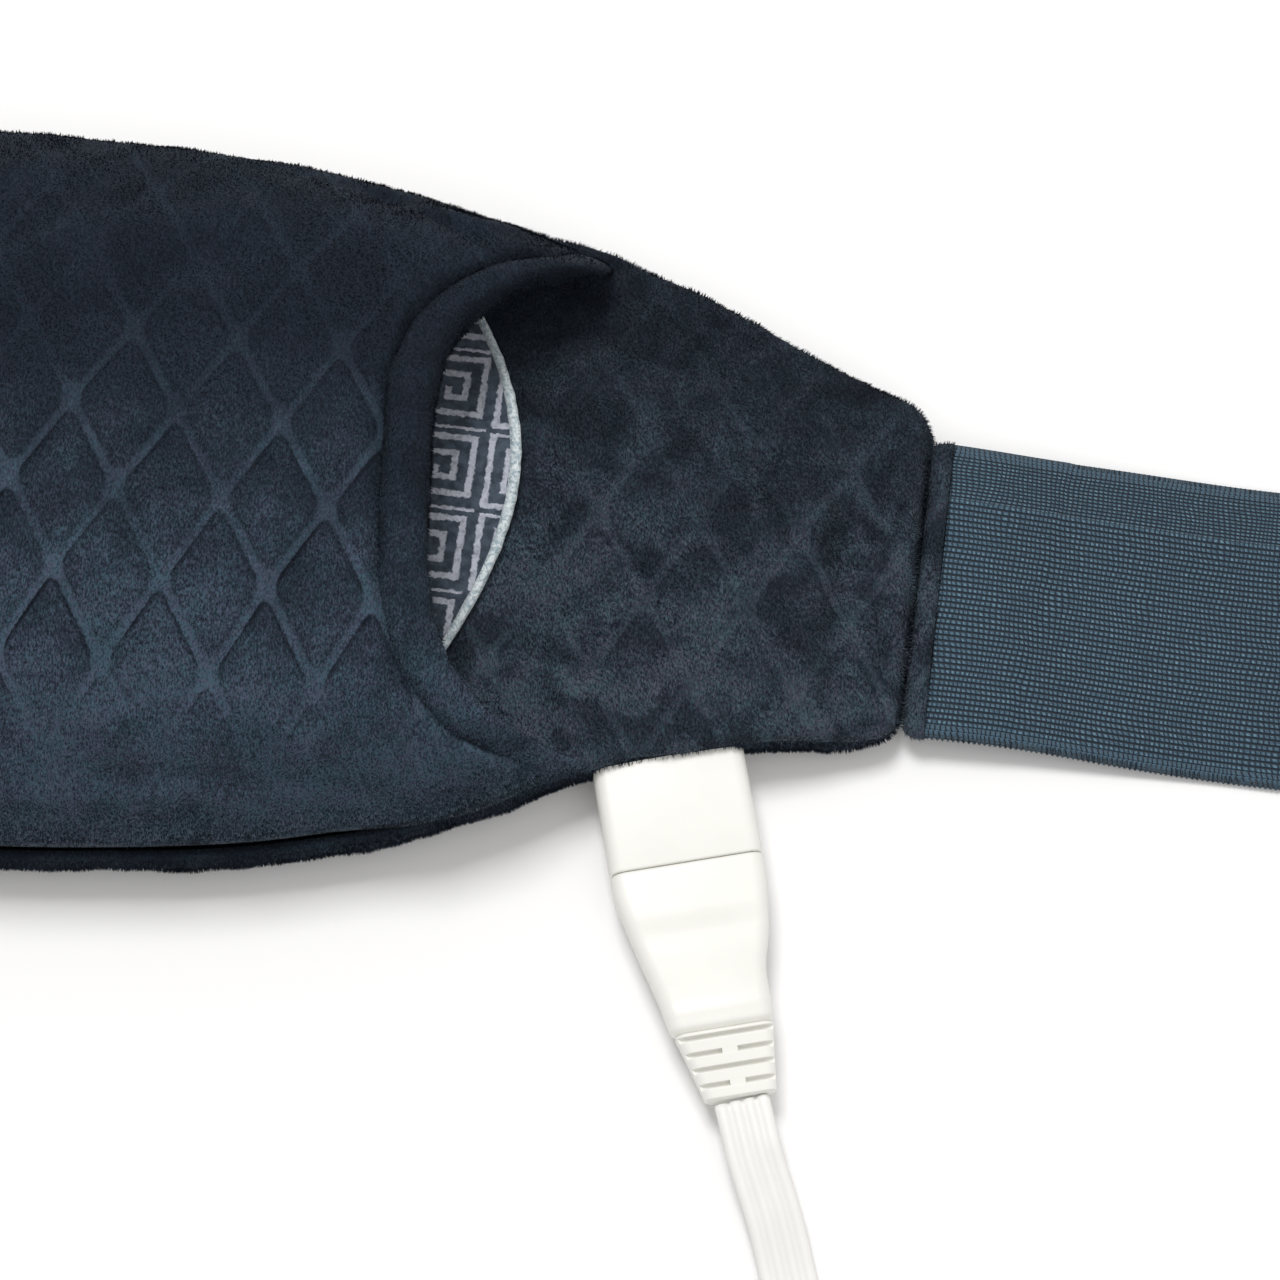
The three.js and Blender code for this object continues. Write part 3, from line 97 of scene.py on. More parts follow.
class BeltSizes(bpy.types.PropertyGroup):
    """Sizes of the cloth's finish."""

    diamond_width: FloatProperty(
        name="Diamond width", description="Distance between two embossed diamonds along the belt",
        default=20.3 * MM, unit="LENGTH")
    diamond_height: FloatProperty(
        name="Diamond height", description="Height of an embossed diamond", default=33.6 * MM,
        unit="LENGTH")
    groove_depth: FloatProperty(
        name="Groove depth", description="How far the diamonds' lines are pressed into the plush",
        default=1.0 * MM, unit="LENGTH")
    pile_length: FloatProperty(
        name="Pile length", description="Length of the plush fibres", default=1.3 * MM, unit="LENGTH")
    pile_density: FloatProperty(
        name="Pile density", description="Drawn fibres on a square millimetre of plush", default=4.5,
        min=0.0)
    fold_height: FloatProperty(
        name="Fold height", description="Share of the folds' full height", default=1.0, min=0.0, max=1.5,
        subtype="FACTOR")
    cord_sides: IntProperty(
        name="Cord sides", description="Faces round the flat cord", default=48, min=16, max=64)


class BeltColours(bpy.types.PropertyGroup):
    """Colours of the cloth and of the plastic."""

    plush: FloatVectorProperty(
        name="Plush", description="Colour at the tips of the plush", subtype="COLOR", size=3,
        default=(0.058, 0.086, 0.122))
    # Painted shade: the dark between the fibres, where little light gets in, and the dark end of all
    # painted light
    plush_root_shade: FloatVectorProperty(
        name="Plush roots", description="Colour between the plush fibres", subtype="COLOR", size=3,
        default=(0.008, 0.011, 0.018))
    elastic: FloatVectorProperty(
        name="Elastic", description="Colour of the strap's yarn", subtype="COLOR", size=3,
        default=(0.054, 0.102, 0.145))
    plastic: FloatVectorProperty(
        name="Plastic", description="Colour of the connector and of the controller", subtype="COLOR",
        size=3, default=(0.865, 0.86, 0.815))


# Outlines


def outline(shares):
    """Distance from the middle line to one long edge, as a function of x, through the given shares."""
    xs = [a * HALF_LENGTH for a, _ in shares]
    ys = [b * HALF_HEIGHT for _, b in shares]
    last = len(xs) - 1

    def slope(i):
        if i == 0:
            return 0.0
        following = min(i + 1, last)
        return (ys[following] - ys[i - 1]) / (xs[following] - xs[i - 1])

    slopes = [slope(i) for i in range(last + 1)]

    def edge(x):
        i = last - 1
        for k in range(1, last + 1):
            if xs[k] > x:
                i = k - 1
                break
        span = xs[i + 1] - xs[i]
        u = (x - xs[i]) / span
        rise = ys[i + 1] - ys[i]
        a = slopes[i] * span - rise
        b = rise - slopes[i + 1] * span
        return ys[i] + u * rise + u * (1 - u) * (a * (1 - u) + b * u)

    return edge


top_edge, bottom_edge = outline(TOP_SHARES), outline(BOTTOM_SHARES)


def mix(a, b, t):
    """Goes from a to b as t goes from 0 to 1."""
    return a + (b - a) * t


def smooth(x, start, end):
    """Eases from 0 at the start to 1 at the end."""
    t = min(1.0, max(0.0, (x - start) / (end - start)))
    return t * t * (3 - 2 * t)


def centre_y(x):
    """Height on the belt, at x, of the middle between its two long edges."""
    return (top_edge(abs(x)) - bottom_edge(abs(x))) / 2


def half_y(x):
    """Half the distance, at x, between the two long edges."""
    return (top_edge(abs(x)) + bottom_edge(abs(x))) / 2


def line_y(x, share):
    """Height on the belt, at x, of the line with that share: -1 at the lower edge, 1 at the upper one."""
    return centre_y(x) + share * half_y(x)


END_LEAN = half_y(HALF_LENGTH) * math.tan(STRAP_TILT)


def end_reach(share):
    """How far the muff reaches from the middle, on the line with that share."""
    return HALF_LENGTH + share * END_LEAN


def mouth_reach(share):
    """How far the front reaches, up to the hand opening, which is hollow."""
    rise = (share / 0.76) ** 3
    turn = 1.04 * rise / (1 + rise ** 4) ** 0.25 if share > 0 else abs(share) ** 4
    return MOUTH_CORNER - MOUTH_DEPTH * (1 - turn)


def lining_reach(share):
    """How far the pocket's floor reaches, which bulges out of the hand opening."""
    return MOUTH_CORNER - MOUTH_DEPTH + 15 * (1 - ((share - 0.11) / 0.65) ** 2)


def seam_z(x):
    """Height of the muff's seam, which comes down on the wings."""
    return mix(SEAM[0], SEAM[1], smooth(abs(x), HALF_LENGTH - WING_THINNING, HALF_LENGTH))


def inner_z(x, share):
    """Height of the inner panel's upper side, a little crowned."""
    crown = CROWN * seam_z(x) / SEAM[0] * max(0.0, 1 - share * share)
    return seam_z(x) + FIT + CLOTH + crown


RIM_SHARE = 1 - RIM_INSET / HALF_HEIGHT


def roof_base(x):
    """Height of the pocket's roof at its edges."""
    return seam_z(x) + 2 * FIT + CLOTH + CROWN * (1 - RIM_SHARE ** 2)


def roof_z(x, share):
    """Height of the pocket's roof under its lining."""
    reach = min(1.0, abs(share) / RIM_SHARE)
    return roof_base(x) + POCKET * (1 - reach ** 2.4) ** 0.8


def front_z(x, share):
    """Height of the front panel's upper side."""
    pad = mix(FRONT_PAD[0], FRONT_PAD[1], (x / MOUTH_CORNER) ** 2)
    rim = seam_z(x) + 2 * FIT + CLOTH + FRONT_RIM
    middle = roof_base(x) + POCKET + ROOF_LINING + pad + FRONT_CLOTH + 2 * FIT
    corner = smooth(abs(x), 116, 134)  # towards the mouth's ends it comes down to the seam less steeply
    return mix(rim, middle, (1 - min(1.0, abs(share)) ** mix(2.6, 2.2, corner)) ** mix(0.72, 1.15, corner))


def shoulder(inset, radius):
    """How far a rounded edge of that radius has dropped, at a distance from the edge."""
    if inset >= radius:
        return 0.0
    return radius - math.sqrt(max(0.0, radius * radius - (radius - max(0.0, inset)) ** 2))


def lump(x, y, size, seed):
    """Smooth lumps about that size across, from -1 to 1."""
    return noise.noise(Vector((x / size, y / size, seed)))


# Folds: ends of the crest, width and height of the ridge, in millimetres. Negative heights are creases.
FRONT_FOLDS = [
    ((90, 60), (110, 47), 2.6, -1.2), ((96, 57), (117, 52), 2.4, 1.0), ((73, 65), (95, 57), 3.5, -0.9),
    ((93, 44), (98, 20), 3.2, 0.9), ((88, 44), (91, 18), 3.0, -0.7), ((106, -42), (126, -56), 1.8, -1.0),
    ((104, -47), (118, -61), 1.8, 0.9), ((109, -51), (113, -66), 1.7, -0.9),
    ((100, -52), (107, -66), 2.0, 0.8), ((22, -72), (74, -72.5), 3.0, 0.7),
    ((44, -67.5), (98, -66.5), 2.6, -0.6), ((28, 40), (62, 48), 6.0, 1.1),
    ((46, 30), (63, 40), 4.5, -0.9), ((22, 19), (42, 25), 5.0, -0.7), ((92, -24), (104, -42), 4.0, 0.8),
    ((72, -53), (82, -63), 3.0, 0.6), ((44, -58), (55, -69), 3.0, 0.6), ((-8, 55), (30, 60), 5.0, 0.9),
    ((4, 36), (24, 44), 4.0, -0.8), ((70, 20), (84, 40), 4.0, 0.6),
]
WING_FOLDS = [
    ((132, 60), (142, 46), 1.6, -1.1), ((128, 50), (146, 51), 1.8, 0.8),
    ((131, 38), (145, 34), 2.2, -1.0), ((152, 39), (161, 29), 1.8, -1.1),
    ((146, 40), (156, 33), 2.0, 0.8), ((184, -3), (195, -4.5), 1.1, -0.8),
    ((184, -8.5), (194, -11), 1.1, -0.8), ((184, -15), (195, -17.5), 1.1, -0.7),
    ((185, -20), (194, -23), 1.1, -0.6), ((185, 3), (183.5, -40), 2.6, -1.0),
    ((179, 0), (178, -34), 3.2, 0.7), ((128, -23), (146, -13), 3.0, -0.6),
    ((121, -38), (131, -51), 2.2, -0.9), ((128, -35), (137, -50), 2.4, 0.8),
    ((154, 18), (173, 24), 4.0, 0.8), ((167, 9), (177, -12), 3.6, -0.8), ((134, 18), (149, 13), 3.5, 0.8),
    ((196, 8), (192, -12), 1.6, 0.7), ((128, -42), (147, -50), 2.2, -0.8),
    ((197, -22), (191, -45), 2.0, -0.8), ((150, 0), (166, 4), 4.5, 0.7), ((120, 20), (134, 4), 4.0, -0.7),
    ((172, -30), (182, -44), 2.2, 0.8),
]


def folds_z(folds, x, y):
    """Height of all the folds at a point of the cloth: each is a ridge along its crest, which wavers."""
    height = 0.0
    for (x0, y0), (x1, y1), width, rise in folds:
        dx, dy = x1 - x0, y1 - y0
        length = math.hypot(dx, dy)
        along = ((x - x0) * dx + (y - y0) * dy) / length
        if along < -width * 2 or along > length + width * 2:
            continue
        off = ((x - x0) * dy - (y - y0) * dx) / length + 1.2 * lump(x, y, 9, 3.7)
        if abs(off) > 3 * width:
            continue
        ends = max(0.0, -along, along - length) / width
        height += rise * math.exp(-(off / width) ** 2 - ends * ends)
    return height


DIAMOND_ORIGIN = (44.6, -13.3)  # where two lines cross
DIAMOND_TURNS = (math.radians(-4.0), math.radians(-1.15))  # of the rows and of the columns of diamonds


def diamond_families(sizes):
    """For the two families of the diamonds' lines: kx, ky and the distance between two lines of the family,
    in millimetres. kx * x + ky * y, from the origin, is a whole number on every line."""
    row, column = DIAMOND_TURNS
    wx, wy = (sizes.diamond_width / MM * part for part in (math.cos(row), math.sin(row)))
    hx, hy = (sizes.diamond_height / MM * part for part in (-math.sin(column), math.cos(column)))
    area = wx * hy - wy * hx
    for way in (1, -1):
        kx, ky = (hy - way * wy) / area, (way * wx - hx) / area
        yield kx, ky, way / math.hypot(kx, ky)


def diamond_line(x, y, sizes):
    """Share of the embossed groove's depth at a point of the cloth: 1 on a line between two diamonds."""
    depth = 0.0
    for kx, ky, apart in diamond_families(sizes):
        line = kx * (x - DIAMOND_ORIGIN[0]) + ky * (y - DIAMOND_ORIGIN[1])
        depth = max(depth, 1 - smooth(abs((line - round(line)) * apart), 0.3, 1.7))
    return depth


# Mesh building


def finish_mesh(name, mesh, smooth_faces=True):
    """A new object that holds this bmesh, in metres, at the origin."""
    data = bpy.data.meshes.new(name)
    for face in mesh.faces:
        face.smooth = smooth_faces
    mesh.to_mesh(data)
    mesh.free()
    piece = bpy.data.objects.new(name, data)
    bpy.context.scene.collection.objects.link(piece)
    return piece


def lay_map(mesh, name, place):
    """Gives the mesh a map of that name, on which place(vertex) is each corner's point."""
    layer = mesh.loops.layers.uv.new(name)
    for face in mesh.faces:
        for loop in face.loops:
            loop[layer].uv = place(loop.vert.co)


def sheet(name, columns, rows, place, thickness=0.0, cloth_uv=None):
    """A create_grid sheet. place(u, v) gives each vertex its place in mm, for u and v from -1 to 1."""
    mesh = bmesh.new()
    bmesh.ops.create_grid(mesh, x_segments=columns, y_segments=rows, size=1.0)
    if cloth_uv:
        lay_map(mesh, "cloth", lambda co: cloth_uv(co.x, co.y))
    for vertex in mesh.verts:
        vertex.co = Vector(place(vertex.co.x, vertex.co.y)) * MM
    bmesh.ops.remove_doubles(mesh, verts=mesh.verts, dist=1e-7)
    mesh.normal_update()
    piece = finish_mesh(name, mesh)
    if thickness:
        wall = piece.modifiers.new("cloth thickness", "SOLIDIFY")
        wall.thickness = thickness * MM
        wall.offset = -1
    return piece


def tube(name, sides, stations, ring, cloth_uv=0.0):
    """A create_grid sheet wrapped into a tube: ring(station, side) gives each vertex its place in mm."""
    last = len(stations) - 1
    mesh = bmesh.new()
    bmesh.ops.create_grid(mesh, x_segments=sides, y_segments=last, size=1.0)
    if cloth_uv:
        lay_map(mesh, "cloth", lambda co: ((co.x + 1) / 2, (co.y + 1) / 2 * last * cloth_uv))
    for vertex in mesh.verts:
        side = round((vertex.co.x + 1) / 2 * sides) % sides
        station = stations[round((vertex.co.y + 1) / 2 * last)]
        vertex.co = Vector(ring(station, side)) * MM
    bmesh.ops.remove_doubles(mesh, verts=mesh.verts, dist=1e-7)
    bmesh.ops.holes_fill(mesh, edges=mesh.edges, sides=0)
    bmesh.ops.recalc_face_normals(mesh, faces=mesh.faces)
    return finish_mesh(name, mesh)


def round_box(side, half_width, half_height, corner, steps=6):
    """Point of a rectangle with round corners. There are four corners of steps + 1 points each."""
    quarter, step = divmod(side, steps + 1)
    angle = (quarter + step / steps) * math.pi / 2
    corner = min(corner, half_width, half_height)
    across = (half_width - corner) * (1 if quarter in (0, 3) else -1)
    up = (half_height - corner) * (1 if quarter in (0, 1) else -1)
    return across + corner * math.cos(angle), up + corner * math.sin(angle)


def bevelled(piece, width, segments=2, angle=30):
    """Rounds the piece's sharp edges."""
    edge = piece.modifiers.new("rounded edges", "BEVEL")
    edge.width = width * MM
    edge.segments = segments
    edge.limit_method = "ANGLE"
    edge.angle_limit = math.radians(angle)
    return piece


def applied(piece):
    """The piece with its modifiers applied to its mesh."""
    graph = bpy.context.evaluated_depsgraph_get()
    data = bpy.data.meshes.new_from_object(piece.evaluated_get(graph), depsgraph=graph)
    data.name = piece.name
    piece.modifiers.clear()
    piece.data = data
    return piece


# Node building


def linear(colour):
    """Linear RGBA of an sRGB hex colour such as "#2f3f50"."""
    channels = [int(colour[i:i + 2], 16) / 255 for i in (1, 3, 5)]
    return (*(c / 12.92 if c <= 0.04045 else ((c + 0.055) / 1.055) ** 2.4 for c in channels), 1.0)


def scaled(colour, *factors):
    """RGBA of a linear colour, scaled by one factor or by one for each channel."""
    if len(factors) == 1:
        factors *= 3
    return (*(min(1.0, c * k) for c, k in zip(colour, factors)), 1.0)


def add_node(tree, kind, inputs=None, **settings):
    """Adds a node, sets its settings, and sets or links its inputs, given by name or index."""
    node = tree.nodes.new(kind)
    for name, value in settings.items():
        setattr(node, name, value)
    for name, value in (inputs or {}).items():
        socket = node.inputs[name]
        if isinstance(value, bpy.types.NodeSocket):
            tree.links.new(value, socket)
        elif isinstance(value, bpy.types.Node):
            tree.links.new(value.outputs[0], socket)
        else:
            socket.default_value = value
    return node


def calc(tree, operation, a, b=0.0, c=0.0):
    """A Math node's result."""
    return add_node(tree, "ShaderNodeMath", {0: a, 1: b, 2: c}, operation=operation).outputs[0]


def times(tree, *factors):
    """The product of all the factors."""
    product = factors[0]
    for factor in factors[1:]:
        product = calc(tree, "MULTIPLY", product, factor)
    return product


def one_minus(tree, value):
    """1 less the value."""
    return calc(tree, "SUBTRACT", 1.0, value)


def vector(tree, operation, a, b, c=(0, 0, 0)):
    """A Vector Math node's result. SCALE takes its factor as b."""
    inputs = {0: a, "Scale": b} if operation == "SCALE" else {0: a, 1: b, 2: c}
    return add_node(tree, "ShaderNodeVectorMath", inputs, operation=operation).outputs[0]


def split(tree, place):
    """A vector's x, y and z."""
    return add_node(tree, "ShaderNodeSeparateXYZ", {0: place}).outputs


def ramp(tree, value, low, high, to_low=0.0, to_high=1.0):
    """The value eased from one range to another."""
    return add_node(tree, "ShaderNodeMapRange", {0: value, 1: low, 2: high, 3: to_low, 4: to_high},
                    interpolation_type="SMOOTHSTEP").outputs[0]


def blend_colours(tree, share, a, b):
    """Colour a where share is 0 and colour b where it is 1."""
    return add_node(tree, "ShaderNodeMix", {0: share, 6: a, 7: b}, data_type="RGBA").outputs[2]


def object_place(tree):
    """Object coordinates in metres."""
    return add_node(tree, "ShaderNodeTexCoord").outputs["Object"]


def noise_texture(tree, place, size, detail=2.0, distortion=0.0):
    """Noise with patches about that many millimetres across. Its outputs are a value and a colour."""
    inputs = {"Vector": place, "Scale": 1 / (size * MM), "Detail": detail, "Distortion": distortion}
    return add_node(tree, "ShaderNodeTexNoise", inputs).outputs


def grain(tree, place, size, detail=2.0, distortion=0.0):
    """Noise from 0 to 1."""
    return noise_texture(tree, place, size, detail, distortion)[0]


def sway(tree, place, size, detail, width):
    """A noisy vector, about that wide."""
    centred = vector(tree, "SUBTRACT", noise_texture(tree, place, size, detail)[1], (0.5, 0.5, 0.5))
    return vector(tree, "SCALE", centred, width)


def new_material(name, roughness, specular=0.5, sheen=0.0, metallic=0.0):
    """A material with one Principled shader. Returns the material, its tree and the shader."""
    material = bpy.data.materials.new(name)
    material.use_nodes = True
    tree = material.node_tree
    shader = tree.nodes["Principled BSDF"]
    for key, value in (("Roughness", roughness), ("Specular IOR Level", specular), ("Sheen Weight", sheen),
                       ("Metallic", metallic)):
        shader.inputs[key].default_value = value
    return material, tree, shader


def finish_shader(tree, shader, colour, height, depth):
    """Gives the shader its base colour and bumps of that depth in millimetres."""
    tree.links.new(colour, shader.inputs["Base Color"])
    bump = add_node(tree, "ShaderNodeBump", {"Height": height, "Distance": depth * MM, "Strength": 1.0})
    tree.links.new(bump.outputs[0], shader.inputs["Normal"])


def paint(piece, material):
    """Gives the whole piece one material."""
    piece.data.materials.clear()
    piece.data.materials.append(material)
    return piece


# Materials


def diamond_lines(tree, place, sizes):
    """Signed distances in metres from the two families of the diamonds' lines, negative below a line."""
    x, y, _ = split(tree, place)
    found = []
    for kx, ky, apart in diamond_families(sizes):
        start = -(DIAMOND_ORIGIN[0] * kx + DIAMOND_ORIGIN[1] * ky)
        line = calc(tree, "MULTIPLY_ADD", y, ky / MM, start)
        line = calc(tree, "MULTIPLY_ADD", x, kx / MM, line)
        found.append(times(tree, calc(tree, "WRAP", line, 0.5, -0.5), apart * MM))
    return found


def diamond_patch(tree, lines):
    """1 in the patch where two pressed lines cross, which has hollow sides and is wider than the lines."""
    away = [calc(tree, "DIVIDE", calc(tree, "ABSOLUTE", line), MM) for line in lines]
    near = ramp(tree, calc(tree, "MAXIMUM", *away), 2.6, 4.6, 1.0, 0.0)
    return times(tree, near, ramp(tree, times(tree, *away), 1.4, 3.8, 1.0, 0.0))


def diamond_mask(tree, lines):
    """1 on a pressed line between two diamonds and where two lines cross, and 0 inside a diamond."""
    marks = [ramp(tree, calc(tree, "ABSOLUTE", line), 0.5 * MM, 1.15 * MM, 1.0, 0.0) for line in lines]
    patch = times(tree, diamond_patch(tree, lines), 1.15)
    return calc(tree, "MAXIMUM", calc(tree, "MAXIMUM", *marks), patch)


def diamond_shade(tree, lines):
    """How dark the painted shade is where a pillow's upper sides rise from the lines above it: a thin line,
    darker under the lines that lean to the right, and a fainter shade below it."""
    rises = []
    for line, strength in zip(lines, (0.65, 1.0)):
        inside = ramp(tree, line, -1.15 * MM, -0.95 * MM, 1.0, 0.0)
        sharp = ramp(tree, line, -2.4 * MM, -1.3 * MM, 0.0, 0.7)
        soft = ramp(tree, line, -7.5 * MM, -1.5 * MM, 0.0, 0.42)
        rises.append(times(tree, inside, strength, calc(tree, "ADD", sharp, soft)))
    return times(tree, calc(tree, "MAXIMUM", *rises), one_minus(tree, diamond_patch(tree, lines)))


def quilting_strength(tree, place):
    """How clearly the pressed lines show: best a little below the middle, and in patches."""
    y = split(tree, place)[1]
    clear = times(tree, ramp(tree, y, -62 * MM, -45 * MM, 0.14, 1.0),
                  ramp(tree, y, 30 * MM, -18 * MM, 0.24, 1.0))
    return times(tree, clear, ramp(tree, grain(tree, place, 22.0), 0.35, 0.6, 0.45, 1.0))


def quilted(tree, place, sizes, light, strength, shading):
    """Adds painted sheen on the pressed lines, where flat pile catches more light, and painted shade below
    them.
    """
    lines, clear = diamond_lines(tree, place, sizes), quilting_strength(tree, place)
    # Painted sheen on the pressed lines, and painted shade below them
    mask = times(tree, diamond_mask(tree, lines), clear, strength)
    shade = times(tree, diamond_shade(tree, lines), clear, shading)
    return calc(tree, "ADD", times(tree, light, one_minus(tree, shade)), times(tree, mask, 0.26))


def nap_and_painted_light(tree, place, patch, clouds, painted_height_light):
    """How light a plush looks from place to place: soft patches of painted light and shade where the nap
    lies another way and the cloth undulates, clumps, and the tufts' own strokes of about 0.3 by 0.7 mm.
    clouds gives the patches' range. The last argument gives two heights on the belt and the lightness at
    each: painted light and shade, lighter on the lower slopes and darker towards the top."""
    # Soft patches of painted light and shade, where the cloth undulates and the nap turns
    blotch = ramp(tree, grain(tree, place, patch, 1.5, 0.7), 0.30, 0.70, *clouds)
    clump = ramp(tree, grain(tree, place, 2.6, 1.0, 0.5), 0.25, 0.75, 0.78, 1.14)
    strokes = vector(tree, "MULTIPLY", place, (1.0, 0.45, 0.7))
    tuft = ramp(tree, grain(tree, strokes, 0.33, 3.0, 0.3), 0.32, 0.68, 0.2, 1.55)
    # Painted light and shade by height on the belt: lighter low down, darker higher up
    low, high, to_low, to_high = painted_height_light
    slope = ramp(tree, split(tree, place)[1], low * MM, high * MM, to_low, to_high)
    return times(tree, blotch, clump, times(tree, tuft, slope))


def parting_shade(tree, place, light):
    """Paints shade in crooked lines, a few millimetres long, where crushed pile parts and its gaps fall in
    shade.
    """
    line = calc(tree, "ABSOLUTE", calc(tree, "SUBTRACT", grain(tree, place, 5.0, 1.0, 1.8), 0.5))
    where = ramp(tree, grain(tree, place, 15.0, 1.0), 0.48, 0.62)
    return times(tree, light, one_minus(tree, times(tree, ramp(tree, line, 0.0, 0.04, 0.8, 0.0), where)))


def plush_material(name, colours, sizes, painted_height_light, diamonds, patch, clouds, crushed, fibres):
    """Polyester plush, knitted and sheared, its pile brushed in patches: it looks matt and deep, with paler
    blotches of painted light where the fibres face the light, painted light and shade by height on the
    belt, and a soft sheen towards the edges. The fibres' own material is the same, with painted shade at
    their roots, where little light gets in."""
    material, tree, shader = new_material(name, 0.9, specular=0.1)
    shader.inputs["Sheen Roughness"].default_value = 0.45
    shader.inputs["Sheen Tint"].default_value = (0.50, 0.60, 0.72, 1)
    place = object_place(tree)
    light = nap_and_painted_light(tree, place, patch, clouds, painted_height_light)
    # Painted shade in the crushed pile's partings
    if crushed:
        light = parting_shade(tree, place, light)
    # Pressed lines with their painted sheen and painted shade; on crushed plush the shade is faint
    if diamonds:
        light = quilted(tree, place, sizes, light, diamonds, 0.15 if crushed else 0.95)
    if fibres:
        # Painted shade on the fibres, darker towards their roots
        tip = add_node(tree, "ShaderNodeAttribute", attribute_name="tip").outputs["Fac"]
        light = times(tree, light, ramp(tree, tip, 0.0, 1.0, 0.5, 1.2))
    dye = ramp(tree, calc(tree, "ADD", grain(tree, place, 7.0), grain(tree, place, 0.8, 0.0)), 0.75, 1.25)
    tip_colour = scaled(colours.plush, 1.1, 1.0, 0.92) if crushed else colours.plush
    violet, teal = scaled(tip_colour, 1.12, 0.96, 1.02), scaled(tip_colour, 0.86, 1.03, 0.99)
    tips = blend_colours(tree, dye, violet, teal)
    # From the roots' painted shade where the plush is dark to its tips' colour where it is light
    colour = blend_colours(tree, light, scaled(colours.plush_root_shade, 1), tips)
    tree.links.new(ramp(tree, light, 0.0, 1.0, 0.03, 0.24), shader.inputs["Sheen Weight"])
    if fibres:
        tree.links.new(colour, shader.inputs["Base Color"])
    else:
        tufts = calc(tree, "ADD", grain(tree, place, 0.5), grain(tree, place, 2.6))
        finish_shader(tree, shader, colour, tufts, 0.4)
    return material


def fret_material():
    """Short-pile plush with a printed key fret of pale lines on slate: it looks soft at its edges, because
    the print only reaches the tips of the pile."""
    material, tree, shader = new_material("printed short-pile plush", 0.9, specular=0.15, sheen=0.2)
    place = object_place(tree)
    moved = vector(tree, "ADD", place, sway(tree, place, 1.1, 1.0, 1.0 * MM))
    turned = add_node(tree, "ShaderNodeMapping", {"Vector": moved, "Rotation": (0, 0, math.radians(5)),
                                                  "Location": (2.5 * MM, 4 * MM, 0)})
    along, up, _ = split(tree, turned)
    # Square spirals of two turns, 3.5 mm between their lines of 1.2 mm, in cells of five such steps. Each
    # spiral is a set of half squares round one point above and round another one, half a step on, below it.
    step, line = 3.5 * MM, 1.2 * MM
    cell = 5 * step
    x = calc(tree, "WRAP", along, cell / 2, -cell / 2)
    column = calc(tree, "ROUND", calc(tree, "DIVIDE", along, cell))
    flip = one_minus(tree, times(tree, calc(tree, "PINGPONG", column, 1.0), 2.0))
    y = times(tree, calc(tree, "WRAP", up, cell / 2, -cell / 2), flip)
    lower = calc(tree, "LESS_THAN", y, 0.0)
    from_x = calc(tree, "ABSOLUTE", calc(tree, "MULTIPLY_ADD", lower, -step / 2, x))
    reach = calc(tree, "MAXIMUM", from_x, calc(tree, "ABSOLUTE", y))
    reach = calc(tree, "MULTIPLY_ADD", lower, -step / 2, reach)
    off = calc(tree, "ABSOLUTE", calc(tree, "WRAP", reach, step / 2, -step / 2))
    lines = times(tree, ramp(tree, off, line / 2 - 0.15 * MM, line / 2 + 0.2 * MM, 1.0, 0.0),
                  ramp(tree, reach, 2.2 * step, 2.3 * step, 1.0, 0.0),
                  ramp(tree, grain(tree, place, 1.1), 0.25, 0.6, 0.55, 1.0))
    cloudy = ramp(tree, grain(tree, place, 2.0), 0.3, 0.7)
    ground = blend_colours(tree, cloudy, linear("#333b46"), linear("#4a5562"))
    colour = blend_colours(tree, lines, ground, linear("#b4b8c4"))
    finish_shader(tree, shader, colour, grain(tree, place, 0.6), 0.3)
    return material


RIB, FINE_RIB, FINE_BAND = 1.2, 0.8, 12.0  # widths of the elastic's ribs, and of the band with finer ones
LOOP = 1.0  # length of a knitted loop


